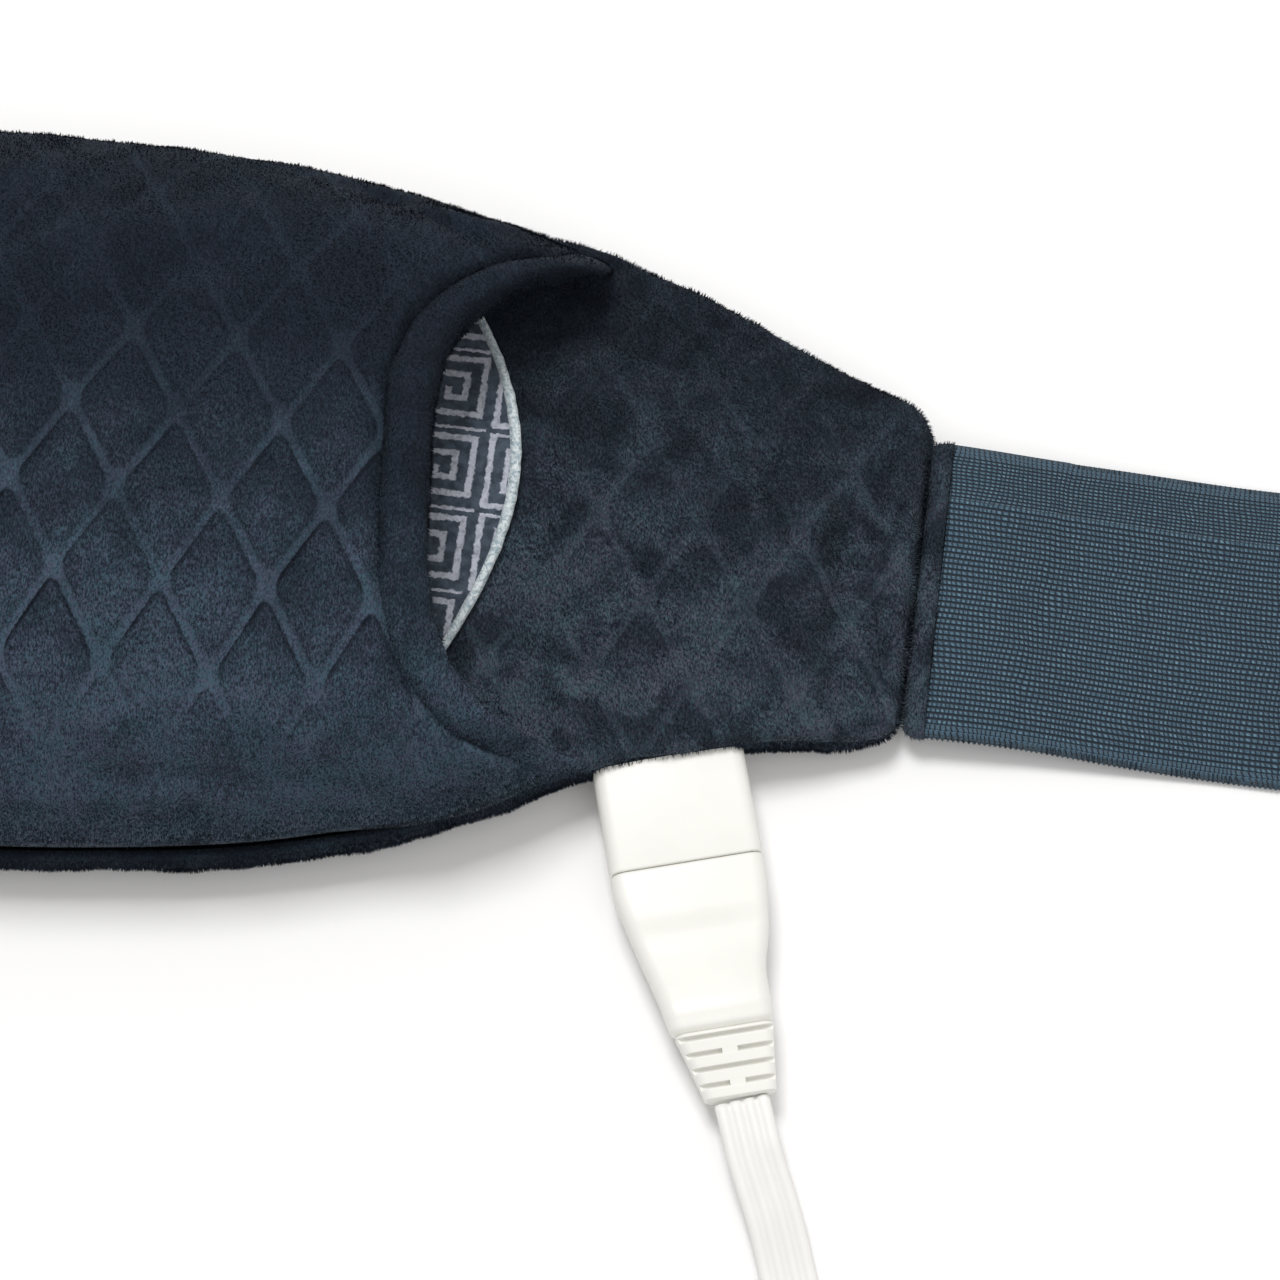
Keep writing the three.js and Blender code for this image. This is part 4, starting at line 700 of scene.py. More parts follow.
def elastic_material(colours):
    """Knitted elastic of polyester and rubber: ribs along the strap, closer together near its upper edge,
    each a chain of loops. It shows thin dark lines of painted shade between the ribs, pale slanting yarns
    across them with a painted highlight on their crests, and small gaps of painted shade between two loops.
    A plainer selvage lies along both edges, with painted shade between its loops."""
    material, tree, shader = new_material("knitted elastic", 0.7, specular=0.3, sheen=0.12)
    place = object_place(tree)
    far, up, _ = split(tree, add_node(tree, "ShaderNodeUVMap", uv_map="cloth"))
    from_low = calc(tree, "DIVIDE", up, MM)
    near_top = calc(tree, "GREATER_THAN", from_low, STRAP_WIDTH - FINE_BAND)
    across = add_node(tree, "ShaderNodeMix", {0: near_top, 2: calc(tree, "DIVIDE", from_low, RIB),
                                              3: calc(tree, "DIVIDE", from_low, FINE_RIB)}).outputs[0]
    in_row = calc(tree, "FRACT", across)
    wander = times(tree, grain(tree, place, 9.0, 1.0), 3.0)
    along = calc(tree, "ADD", calc(tree, "DIVIDE", far, LOOP * MM), wander)
    slanted = calc(tree, "MULTIPLY_ADD", in_row, 0.3, along)
    rib = calc(tree, "SINE", times(tree, in_row, math.pi))
    loop = calc(tree, "SINE", times(tree, calc(tree, "FRACT", slanted), math.pi))
    # Painted shade from the knit's relief: darker between the ribs and between two loops
    rows = ramp(tree, rib, 0.30, 0.72)
    ground = times(tree, rows, ramp(tree, loop, 0.15, 0.6, 0.3, 1.0))
    strokes = times(tree, ramp(tree, loop, 0.35, 0.85), ramp(tree, rib, 0.5, 0.85),
                    ramp(tree, grain(tree, place, 0.5), 0.3, 0.7, 0.1, 1.0))
    stretched = add_node(tree, "ShaderNodeMapping", {"Vector": place, "Scale": (1, 0.3, 1)}).outputs[0]
    ground = times(tree, ground, ramp(tree, grain(tree, stretched, 16.0), 0.3, 0.7, 0.75, 1.0))
    edge = calc(tree, "ABSOLUTE", calc(tree, "SUBTRACT", from_low, STRAP_WIDTH / 2))
    selvage = ramp(tree, edge, STRAP_WIDTH / 2 - 2.6, STRAP_WIDTH / 2 - 2.2)
    # deep is painted shade in the gaps, pale a painted highlight on the yarns' crests
    deep = scaled(colours.elastic, 0.03, 0.09, 0.14)
    middle = scaled(colours.elastic, 0.45, 0.60, 0.68)
    pale = scaled(colours.elastic, 2.5, 2.4, 2.25)
    body = blend_colours(tree, strokes, blend_colours(tree, ground, deep, middle), pale)
    band = blend_colours(tree, ramp(tree, loop, 0.2, 0.7), deep, scaled(colours.elastic, 1.15))
    colour = blend_colours(tree, selvage, body, band)
    finish_shader(tree, shader, colour, calc(tree, "ADD", rows, strokes), 0.25)
    return material


def moulded_material(name, colour, roughness, size=0.8, depth=0.02, spread=0.06, metallic=0.0):
    """Injection-moulded plastic or plated metal: an even colour with faint cloudy variation, and a surface
    that is not quite flat, so its highlights waver a little."""
    material, tree, shader = new_material(name, roughness, metallic=metallic)
    place = object_place(tree)
    fine = grain(tree, place, size, 3.0)
    cloudy = blend_colours(tree, ramp(tree, grain(tree, place, 14.0), 0.3, 0.7),
                           scaled(colour[:3], 1 - spread), scaled(colour[:3], 1))
    rough = ramp(tree, fine, 0.2, 0.8, roughness - 0.05, roughness + 0.05)
    tree.links.new(rough, shader.inputs["Roughness"])
    finish_shader(tree, shader, cloudy, fine, depth)
    return material


def fibrous_material(name, low, high, size, depth, roughness=1.0):
    """Felt, batting or hook and loop tape: a tangle of fibres, matt, with paler and darker tufts."""
    material, tree, shader = new_material(name, roughness, specular=0.1, sheen=0.15)
    tuft = grain(tree, object_place(tree), size, 4.0, 1.0)
    colour = blend_colours(tree, ramp(tree, tuft, 0.3, 0.7), linear(low), linear(high))
    finish_shader(tree, shader, colour, tuft, depth)
    return material


# Each plush: its name, its painted light and shade by height on the belt, the strength of its diamonds, its
# patches' width in millimetres, their range of painted lightness, and whether it is crushed
PLUSHES = {
    "front": ("embossed plush", (-74, 26, 1.32, 0.15), 1.0, 18.0, (0.50, 0.98), False),
    "roll": ("turned plush", (-66, -5, 1.0, 0.14), 0.0, 14.0, (0.45, 1.05), False),
    "wing": ("crushed plush", (-62, 56, 1.02, 0.16), 1.0, 12.0, (0.32, 1.15), True),
    # The back panel's and pocket roof's plush: the wing's cloth, painted dark as shade low down and lighter
    # higher up
    "back": ("dark plush", (-30, 30, 0.3, 0.7), 0.0, 18.0, (0.32, 1.15), False),
}
materials = {}


def make_materials(sizes, colours):
    """All materials, by the name that the pieces use."""
    plastic = colours.plastic
    for key, (name, *looks) in PLUSHES.items():
        for kind in ("", " fibres"):
            materials[key + kind] = plush_material(name + kind, colours, sizes, *looks, fibres=bool(kind))
    materials.update({
        "print": fret_material(),
        "binding": fibrous_material("bias binding", "#8fa3ad", "#dfe6e8", 0.9, 0.35, 0.9),
        "elastic": elastic_material(colours),
        "hooks": fibrous_material("hook and loop tape", "#0e151b", "#2a3742", 0.5, 0.4, 0.85),
        "tie": fibrous_material("woven tie tape", "#1d2226", "#3a4147", 0.7, 0.2, 0.8),
        "batting": fibrous_material("polyester batting", "#c3c8ca", "#eceeef", 2.2, 0.8),
        "felt": fibrous_material("needled felt", "#aaa79d", "#d8d5cc", 1.1, 0.3),
        "ivory": moulded_material("ivory ABS, polished mould", plastic, 0.4, spread=0.03),
        "relief": moulded_material("ivory PVC, matt mould", plastic, 0.5, spread=0.03),
        "cord": moulded_material("white PVC cord", (0.90, 0.89, 0.865), 0.42, size=1.4),
        "grey": moulded_material("grey ABS", linear("#aab0b3"), 0.45),
        "dark": moulded_material("smoked acrylic", linear("#1b1f23"), 0.12, depth=0.004),
        "board": moulded_material("solder-masked board", linear("#1f5a3a"), 0.4, spread=0.3),
        "copper": moulded_material("drawn copper", linear("#b87333"), 0.3, metallic=1.0),
        "nickel": moulded_material("nickel-plated brass", linear("#c7c8c6"), 0.22, metallic=1.0),
        "wire": moulded_material("silicone-sheathed wire", linear("#b5432e"), 0.5),
        "sensor": moulded_material("heat-shrink sleeve", linear("#22262a"), 0.55),
    })


# Pile


def blade(length):
    """One fibre: a thin triangle along +Z whose face points along +Y, with its tip marked for the material,
    and its own shape as its map."""
    mesh = bmesh.new()
    bmesh.ops.create_circle(mesh, cap_ends=True, segments=3, radius=1.0)
    tip_mark = mesh.verts.layers.float.new("tip")
    corners = sorted(mesh.verts, key=lambda v: v.index)
    for vertex, (x, z) in zip(corners, ((-0.13, 0.0), (0.13, 0.0), (0.0, 1.0))):
        vertex.co = Vector((x * MM, 0, z * length))
        vertex[tip_mark] = z
    bmesh.ops.recalc_face_normals(mesh, faces=mesh.faces)
    lay_map(mesh, "OFBake", lambda co: (co.x, -co.z))
    return finish_mesh("pile_blade", mesh, smooth_faces=False)


def seen_from_above(tree, fibres, skin):
    """Gives the fibres the map OFBake, so that the plush's pattern can be baked: each lies at its root, as
    seen from above."""
    root, shape = (add_node(tree, "GeometryNodeInputNamedAttribute", {"Name": name},
                            data_type="FLOAT_VECTOR").outputs[0] for name in ("root", "OFBake"))
    margin = 2 * MM
    extents = [[corner[i] for corner in skin.bound_box] for i in (0, 1)]
    factors = [1 / (max(c) - min(c) + 2 * margin) for c in extents]
    starts = [(margin - min(c)) * k for c, k in zip(extents, factors)]
    seen = vector(tree, "MULTIPLY_ADD", vector(tree, "ADD", root, shape), (*factors, 0), (*starts, 0))
    return add_node(tree, "GeometryNodeStoreNamedAttribute", data_type="FLOAT2", domain="CORNER",
                    inputs={"Geometry": fibres, "Name": "OFBake", "Value": seen})


def pile(name, skin, nap, sizes, material, slot, seed, density=1.0, length=1.0, rough=0.9, quilting=False,
         from_x=0.0, from_z=-1.0):
    """Short slanting fibres on a plush skin beyond from_x and above from_z: a blade at each of many points,
    leaning with the nap. They stand out further where the cloth turns over an edge."""
    one = blade(sizes.pile_length * length)
    tree = bpy.data.node_groups.new(name, "GeometryNodeTree")
    for way in ("INPUT", "OUTPUT"):
        tree.interface.new_socket("Geometry", in_out=way, socket_type="NodeSocketGeometry")
    source = add_node(tree, "NodeGroupInput")
    place = add_node(tree, "GeometryNodeInputPosition").outputs[0]
    x, _, z = split(tree, place)
    outside = calc(tree, "GREATER_THAN", calc(tree, "ABSOLUTE", x), from_x * MM - 1e-6)
    per_square_metre = sizes.pile_density * density / MM ** 2
    shown = times(tree, outside, calc(tree, "GREATER_THAN", z, from_z * MM), per_square_metre)
    points = add_node(tree, "GeometryNodeDistributePointsOnFaces",
                      {"Mesh": source, "Density": shown, "Seed": seed})
    normal = points.outputs["Normal"]
    stray = add_node(tree, "FunctionNodeRandomValue", data_type="FLOAT_VECTOR",
                     inputs={0: (-0.45, -0.45, -0.3), 1: (0.45, 0.45, 0.3), "Seed": seed + 1})
    lean = sway(tree, place, 9.0, 2.0, 3.2 * rough)
    for part in (nap, stray.outputs[0], normal):
        lean = vector(tree, "ADD", lean, part)
    turned = add_node(tree, "FunctionNodeAxesToRotation", {"Primary Axis": lean, "Secondary Axis": normal},
                      primary_axis="Z", secondary_axis="Y")
    size = add_node(tree, "FunctionNodeRandomValue", {2: 0.7, 3: 1.15, "Seed": seed + 2},
                    data_type="FLOAT").outputs[1]
    size = times(tree, size, ramp(tree, split(tree, normal)[2], 0.2, 0.75, 1.35, 1.0))
    if quilting:  # the pile is pressed flat along the diamonds' lines
        mask = diamond_mask(tree, diamond_lines(tree, place, sizes))
        pressed = times(tree, mask, quilting_strength(tree, place))
        size = times(tree, size, ramp(tree, pressed, 0.0, 1.0, 1.0, 0.3))
    model = add_node(tree, "GeometryNodeObjectInfo", {"Object": one})
    rooted = add_node(tree, "GeometryNodeStoreNamedAttribute",
                      {"Geometry": points.outputs["Points"], "Name": "root", "Value": place},
                      data_type="FLOAT_VECTOR", domain="POINT")
    copies = add_node(tree, "GeometryNodeInstanceOnPoints",
                      {"Points": rooted, "Instance": model.outputs["Geometry"], "Rotation": turned,
                       "Scale": size})
    fibres = add_node(tree, "GeometryNodeRealizeInstances", {0: copies})
    add_node(tree, "NodeGroupOutput", {0: seen_from_above(tree, fibres, skin)})
    piece = bpy.data.objects.new(name, skin.data.copy())
    bpy.context.scene.collection.objects.link(piece)
    piece.modifiers.new("pile", "NODES").node_group = tree
    bpy.context.view_layer.update()
    applied(piece)
    bpy.data.objects.remove(one)
    return dress(piece, material + " fibres", "belt", slot)


def dress(piece, material, body, slot, *nodes):
    """Gives a piece its material and body, and hides the frame's nodes that it stands for. Its slot is not
    used.
    """
    paint(piece, materials[material])
    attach(piece, body)
    if nodes:
        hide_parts(*nodes)
    return piece


SIDES = ((1, "right"), (-1, "left"))


class PieceOperator(bpy.types.Operator):
    """Base of the operators that build a group of pieces."""

    bl_options = {"REGISTER"}

    def execute(self, context):
        self.build(context.scene.belt_sizes)
        return {"FINISHED"}


# Muff: front

PANEL_OVER_HEM = 2.4  # how far the front panel reaches in under the mouth rolls
FRONT_ROUNDING = 5.2
TUCK = (3.4, 2.8)  # depth and width of the valley beside a mouth roll


def edge_spread(v):
    """Grid rows set closer together towards the two edges."""
    return 0.45 * v + 0.55 * math.sin(v * math.pi / 2)


def front_edge_shift(x, share):
    """The front panel's edge lies a little inside the back panel's, so a band of the back panel shows."""
    low = 2.6 * (1 - smooth(abs(x), 85, 112)) * smooth(-share, 0.7, 1.0)
    return low - 3.6 * smooth(abs(x), 62, 122) * smooth(share, 0.7, 1.0)


class BELT_OT_front(PieceOperator):
    """Builds the front half of the muff: quilted panel, batting, roof lining and the two mouth rolls."""

    bl_idname = "belt.front"
    bl_label = "Front panel and mouth rolls"

    def build(self, sizes):
        def front_place(u, v):
            share = edge_spread(v)
            reach = mouth_reach(share) - HEM_WIDTH + PANEL_OVER_HEM
            x = u * reach
            y = line_y(x, share)
            inset = (1 - abs(share)) * half_y(x)
            from_mouth = reach - abs(x)
            z = front_z(x, share) - shoulder(inset, FRONT_ROUNDING)
            z -= TUCK[0] * math.exp(-(from_mouth / TUCK[1]) ** 2) * smooth(inset, 0, 9)
            depth = sizes.groove_depth / MM * (0.12 + 0.88 * smooth(y, -62, -46) * (1 - smooth(y, 0, 30)))
            quiet = smooth(inset, 4, 14) * smooth(from_mouth, 2, 9)
            z -= depth * quiet * diamond_line(x, y, sizes)
            folds = 1.6 * sizes.fold_height * folds_z(FRONT_FOLDS, abs(x), y)
            z += folds * smooth(inset, 0, 5) * smooth(from_mouth, 0, 4)
            z += quiet * (1.9 * lump(x, y, 34, 1.3) + 0.9 * lump(x, y, 13, 2.1))
            z += 0.22 * lump(x, y, 3.4, 8.0) * smooth(inset, 0, 2)
            y += front_edge_shift(x, share)
            wave = 0.6 * lump(x, 0, 11, 5.2) + 0.25 * lump(x, 0, 3.2, 6.1)
            y += wave * (1 - smooth(inset, 0, 6)) * (1 if share > 0 else -1)
            return x, y, z

        panel = sheet("front_panel", 200, 132, front_place, thickness=2.6)
        dress(panel, "front", "belt", "plush", "front_cover")
        pile("front_pile", panel, (0.05, -0.9, 0.0), sizes, "front", "plush", 11, length=0.5, rough=0.6,
             quilting=True)

        def batting_place(u, v):
            share = v * RIM_SHARE * 0.96
            x = u * (mouth_reach(share) - HEM_WIDTH - 1.5)
            y = line_y(x, share) + front_edge_shift(x, share)
            z = front_z(x, share) - FRONT_CLOTH - FIT - 0.4 + 0.35 * lump(x, y, 7, 4.4)
            return x, y, max(z, roof_z(x, share) + ROOF_LINING + 1.2)

        batting = sheet("front_batting", 80, 56, batting_place, thickness=1.0)
        dress(batting, "batting", "belt", "batting", "front_padding")

        def roof_place(u, v):
            share = v * RIM_SHARE
            x = u * (mouth_reach(share) - HEM_WIDTH + 2)
            y = line_y(x, share) + front_edge_shift(x, share)
            return x, y, roof_z(x, share) + ROOF_LINING + 0.25 * lump(x, y, 4, 9.1) * (1 - abs(v))

        roof = sheet("roof_lining", 110, 70, roof_place, thickness=ROOF_LINING)
        dress(roof, "back", "belt", "plush", "pocket_roof_lining")

        round_the_roll = 34
        for side, name in SIDES:
            def roll_place(share, k):
                angle = 2 * math.pi * k / round_the_roll
                c, s = math.cos(angle), math.sin(angle)
                reach = mouth_reach(share)
                end = smooth(abs(share), 0.88, 1)
                bulge = HEM_WIDTH / 2 * (1 + 0.03 * lump(share * 60, 0, 9, 4.0) - 0.18 * end)
                x = reach - bulge + bulge * math.copysign(abs(c) ** 0.85, c)
                y = line_y(x, share) + front_edge_shift(x, share)
                inset = (1 - abs(share)) * half_y(x)
                crest = reach - HEM_WIDTH / 2
                top = front_z(crest, share) + 0.5 - shoulder(inset, FRONT_ROUNDING) * 0.8 - 2 * end
                low = roof_z(crest, share)
                if inset <= 6:
                    low = mix(seam_z(reach) + 2 * FIT + CLOTH, low, smooth(inset, 2, 6))
                low = min(low, top - 3)
                high = (top - low) / 2
                z = (top + low) / 2 + high * math.copysign(abs(s) ** 0.8, s)
                z -= 1.0 * math.exp(-((c + 1) / 0.5) ** 2) * (s > 0) * smooth(inset, 0, 8)
                ripple = 0.35 * lump(share * 70, k * 0.2, 7, 2.2) + 0.22 * lump(share * 70, k, 2.6, 6.4)
                return side * (x + ripple * c), y, z + ripple * s

            stations = [edge_spread(-1 + 2 * i / 170) * 0.9985 for i in range(171)]
            roll = tube(f"{name}_mouth_roll", round_the_roll, stations, roll_place)
            dress(roll, "roll", "belt", "plush", f"{name}_mouth_hem")
            pile(f"{name}_roll_pile", roll, (0.0, -0.8, 0.0), sizes, "roll", "plush", 21 + side, length=0.5)


# Muff: back half

WINGS_FROM = 90  # the inner plush is only seen beyond this, and its grid is finer there
END_ROUNDING = 6.0
WALL_ROUNDING = 6.5
FLOOR_SHARE = 1 - 14 / HALF_HEIGHT
FELTS = (  # name, node, height of its upper side, and what it rests on
    ("felt_lower", "heater_felt_lower", 3.6, "back_panel"),
    ("felt_upper", "heater_felt_upper", 7.0, "felt_lower"),
)


def wing_x(u, share):
    """Columns that are closer together on the wings than in the middle of the muff."""
    side = 1 if u >= 0 else -1
    u = abs(u)
    if u < 0.2:
        return side * u / 0.2 * WINGS_FROM
    return side * mix(WINGS_FROM, end_reach(share), (u - 0.2) / 0.8)


class BELT_OT_back(PieceOperator):
    """Builds the muff's back half: inner plush and wings, pocket floor, back panel and what it holds."""

    bl_idname = "belt.back"
    bl_label = "Back half and wings"

    def build(self, sizes):
        def inner_place(u, v):
            share = edge_spread(v)
            x = wing_x(u, share)
            y = line_y(x, share)
            from_end = end_reach(share) - abs(x)
            inset = min((1 - abs(share)) * half_y(x), from_end)
            z = inner_z(x, share) - shoulder(inset, 2.4)
            z += 0.9 * smooth(from_end, 12, 3) - shoulder(from_end, 4.6) * 0.8
            shown = smooth(abs(x), 96, 108)
            quiet = smooth(inset, 1, 7) * shown
            z += quiet * (1.0 * lump(x, y, 26, 11.0) + 0.6 * lump(x, y, 10, 12.4))
            z -= 0.2 * quiet * diamond_line(x, y, sizes) * smooth(-y, -20, 10)
            z += 1.4 * sizes.fold_height * folds_z(WING_FOLDS, abs(x), y) * smooth(inset, 0, 3) * shown
            z += 0.28 * lump(x, y, 3.0, 7.7 if x > 0 else 3.3) * smooth(inset, 0, 2) * shown
            wave = (0.7 * lump(x, 0, 10, 15.0) + 0.3 * lump(x, 0, 3.4, 16.0)) * shown
            y += wave * (1 - smooth(inset, 0, 5)) * (1 if share > 0 else -1)
            y -= shoulder(end_reach(share) - abs(x), END_ROUNDING) * share * 0.75
            y += front_edge_shift(x, share) * (share < 0)
            return x, y, z

        inner = sheet("inner_plush", 270, 110, inner_place, thickness=2.2)
        dress(inner, "wing", "belt", "plush", "inner_panel")
        pile("wing_pile", inner, (0.15, -0.5, 0.0), sizes, "wing", "plush", 31, density=1.1, length=0.6,
             rough=1.1, from_x=WINGS_FROM + 2)

        columns, rows, wall_steps = 250, 110, 14
        wide, high = (2 * wall_steps / count for count in (columns, rows))  # the walls' shares of the grid

        def back_place(u, v):
            wall_u, wall_v = max(0.0, 1 - (1 - abs(u)) / wide), max(0.0, 1 - (1 - abs(v)) / high)
            wall = max(wall_u, wall_v)
            angle = wall * math.pi / 2
            inset = WALL_ROUNDING * (1 - math.sin(angle)) if wall > 0 else WALL_ROUNDING
            share = math.copysign(min(1.0, abs(v) / (1 - high)), v)
            along = math.copysign(min(1.0, abs(u) / (1 - wide)), u)
            x = along * (end_reach(share) - inset)
            y = centre_y(x) + share * (half_y(x) - inset)
            z = seam_z(x) * (1 - math.cos(angle)) if wall > 0 else 0.0
            out = 0.7 * smooth(wall, 0.2, 0.6) * (1 - smooth(wall, 0.85, 1.0))
            pucker = (0.8 * lump(x, y, 9, 21.0) + 0.4 * lump(x, y, 3.5, 22.0)) * smooth(wall, 0.1, 0.5)
            out += pucker * (1 - smooth(wall, 0.8, 1.0))
            if wall_v >= wall_u:
                y += out * smooth(1 - wide - abs(u), 0, 0.03) * (1 if v > 0 else -1)
            else:
                x += out * smooth(1 - high - abs(v), 0, 0.03) * (1 if u > 0 else -1)
            y -= shoulder(end_reach(share) - abs(x), END_ROUNDING) * share * 0.75
            return x, y, max(0.0, z)

        back = sheet("back_panel", columns, rows, lambda u, v: back_place(-u, v), thickness=2.2)
        # Its plush carries painted shade, darkest along the lower edge
        dress(back, "back", "belt", "dark_plush", "back_cover")
        pile("back_pile", back, (0.0, -0.2, 0.1), sizes, "back", "dark_plush", 41, density=1.2, length=0.55,
             from_z=2.0)

        def floor_place(u, v):
            share = v * FLOOR_SHARE
            x = u * lining_reach(share)
            y = line_y(x, share)
            z = inner_z(x, share) + FIT + 2.0 + 0.3 * lump(x, y, 12, 31.0) * smooth(abs(x), 90, 100)
            return x, y, z

        floor = sheet("floor_print", 150, 60, floor_place, thickness=1.8)
        dress(floor, "print", "belt", "printed_plush", "pocket_floor_lining")
        for side, name in SIDES:
            def binding_ring(share, k):
                angle = 2 * math.pi * k / 12
                x = lining_reach(share) + 1.2 * math.cos(angle) * (1 + 0.2 * lump(share * 60, k, 2.5, 2.0))
                z = inner_z(x, share) + FIT + 1.4 + 1.25 * math.sin(angle)
                return side * x, line_y(x, share), z

            shares = [(-1 + 2 * i / 150) * FLOOR_SHARE for i in range(151)]
            edge = tube(f"{name}_floor_binding", 12, shares, binding_ring)
            dress(edge, "binding", "belt", "printed_plush")

        def slab(name, columns, rows, height, end_inset, edge_inset, thickness):
            """A flat layer inside the muff, that far from its ends and its long edges."""
            def place(u, v):
                x = u * (end_reach(v) - end_inset)
                half = half_y(x) - edge_inset
                return x, centre_y(x) + v * half, height(x, v * half / half_y(x))

            return sheet(name, columns, rows, place, thickness=thickness)

        pad = slab("back_batting", 120, 50, lambda x, share: inner_z(x, share) - CLOTH - 2 * FIT - 0.3,
                   4.2, 4.2, 1.2)
        dress(pad, "batting", "belt", "batting", "back_padding")
        for name, node, top, under in FELTS:
            felt = slab(name, 90, 30, lambda x, share: top, 44.5, 18.0, 0.8)
            dress(felt, "felt", "belt", "felt", node)


# Straps

LAP = 26.0  # the strap's sewn end lies double under its start for this length
CUFF = (2.25, 2.6)  # half the cuff's depth along the strap, and half its height


def strap_point(side, along, across, z):
    """A point in the strap's own frame, which starts in the middle of the muff's end, in the object's."""
    c, s = math.cos(STRAP_TILT), math.sin(STRAP_TILT)
    x = along * c + across * s
    y = across * c - along * s
    return side * (HALF_LENGTH + x), STRAP_ROOT_Y + y, z


def strap_middle(along):
    """Height of the strap's middle: it comes down to the ground from the muff's end."""
    return mix(STRAP_ROOT_Z, STRAP_THICKNESS / 2, smooth(along - HINGE, 0, STRAP_DROP))


def edge_wave(along, way):
    """How far an edge of the strap strays from a straight line."""
    return 0.35 * lump(along, way, 42, 1.0) - 0.5 * math.exp(-((along - 26) / 18) ** 2)


def plate(name, side, start, end, width, top, thickness, corner, looks, node):
    """A flat patch or binding with round corners on a strap. looks are its material and an unused record
    slot.
    """
    middle, length = (start + end) / 2, (end - start) / 2

    def rounded(position, half, pull, shrink):
        return math.copysign(half - corner + pull * shrink if pull > 0 else half * abs(position), position)

    def place(u, v):
        du, dv = length * (1 - abs(u)), width / 2 * (1 - abs(v))
        pull_u, pull_v = max(0.0, corner - du), max(0.0, corner - dv)
        pulled = math.hypot(pull_u, pull_v)
        shrink = corner / pulled if pulled > corner else 1.0
        along = middle + rounded(u, length, pull_u, shrink)
        across = rounded(v, width / 2, pull_v, shrink)
        drop = 0.3 * (1 - smooth(min(du, dv), 0, 1.2))
        return strap_point(side, along, across, top - drop + 0.08 * lump(along, across, 1.6, 3.0))

    piece = sheet(name, 64, 56, lambda u, v: place(side * u, v), thickness=thickness)
    dress(piece, looks[0], dict(SIDES)[side] + "_strap", looks[1], node)


class BELT_OT_straps(PieceOperator):
    """Builds both straps with their cuffs, selvages, bindings, hook tab and loop patch."""

    bl_idname = "belt.straps"
    bl_label = "Straps and fastening"

    def build(self, sizes):
        for (side, name), end in zip(SIDES, (RIGHT_STRAP_END, LEFT_STRAP_END)):
            body = f"{name}_strap"

            def strap_place(u, v):
                along = mix(HINGE - 0.6, end, (side * u + 1) / 2)
                half = STRAP_WIDTH / 2 + edge_wave(along, v)
                z = strap_middle(along) + STRAP_THICKNESS / 2 - 0.3 * smooth(abs(v), 0.9, 1.0)
                z += 0.4 * smooth(along - 4 * v, LAP, LAP - 2)
                return strap_point(side, along, v * half, z)

            wide, long = STRAP_WIDTH * MM, (end - HINGE) * MM
            strap = sheet(f"{name}_elastic", 300, 40, strap_place, thickness=STRAP_THICKNESS * 0.85,
                          cloth_uv=lambda u, v: ((u + 1) / 2 * long, (v + 1) / 2 * wide))
            dress(strap, "elastic", body, "elastic", f"{name}_strap")
            step = 0.26
            count = round((end - HINGE) / step)
            for way, label, width in ((1, "upper", 1.0), (-1, "lower", 1.15)):
                def selvage_ring(i, k):
                    along = mix(HINGE, end, i / count)
                    bump = 0.75 + 0.25 * math.cos(2 * math.pi * along / 1.05)
                    angle = 2 * math.pi * k / 8
                    across = way * (STRAP_WIDTH / 2 + edge_wave(along, way) - 0.6)
                    across += width * bump * math.cos(angle)
                    z = strap_middle(along) + 0.98 * bump * math.sin(angle)
                    return strap_point(side, along, across, z)

                selvage = tube(f"{name}_{label}_selvage", 8, list(range(count + 1)), selvage_ring,
                               cloth_uv=step * MM)
                dress(selvage, "elastic", body, "elastic")

            def cuff_ring(v, k):
                angle = 2 * math.pi * k / 26
                round_end = math.sqrt(max(0.0, 1 - (max(0.0, abs(v) - 0.93) / 0.07) ** 2))
                deep = CUFF[0] * (0.4 + 0.6 * round_end)
                tall = CUFF[1] * (0.25 + 0.75 * round_end)
                along = 4.75 - 1.1 * deep + 0.225 + deep * math.cos(angle)
                along += 0.4 * lump(v * 32, k, 5, 4.0) * (math.cos(angle) < 0.5)
                z = STRAP_ROOT_Z + tall * math.sin(angle) * (1 + 0.08 * lump(v * 32, k, 4, 6.0))
                return strap_point(side, along, v * (STRAP_WIDTH / 2 + 0.2), z)

            cuff = tube(f"{name}_cuff", 26, [-1 + 2 * i / 80 for i in range(81)], cuff_ring)
            dress(cuff, "wing", "belt", "plush", f"{name}_end_cuff")
            pile(f"{name}_cuff_pile", cuff, (0.3 * side, -0.5, 0.0), sizes, "wing", "plush", 51 + side,
                 length=0.5)

        top = STRAP_THICKNESS + FIT
        hooks, binding = ("hooks", "hook_tape"), ("tie", "elastic")
        plate("hook_pad", 1, TAB_END - 48, TAB_END, 52, 2.2, 1.8, 8, hooks, "hook_tab")
        plate("hook_pad_binding", 1, TAB_END - 55.1, TAB_END - 41.1, 52, top + 0.9, 0.8, 1.5,
              binding, "right_strap_binding")
        plate("loop_pad", -1, 200.9, 310.9, 50, top + 1.5, 1.3, 1.5, hooks, "loop_patch")
        plate("loop_pad_binding", -1, LEFT_STRAP_END - 14, LEFT_STRAP_END, 62.9, top + 0.9, 0.8, 1.5,
              binding, "left_strap_binding")


# Connector

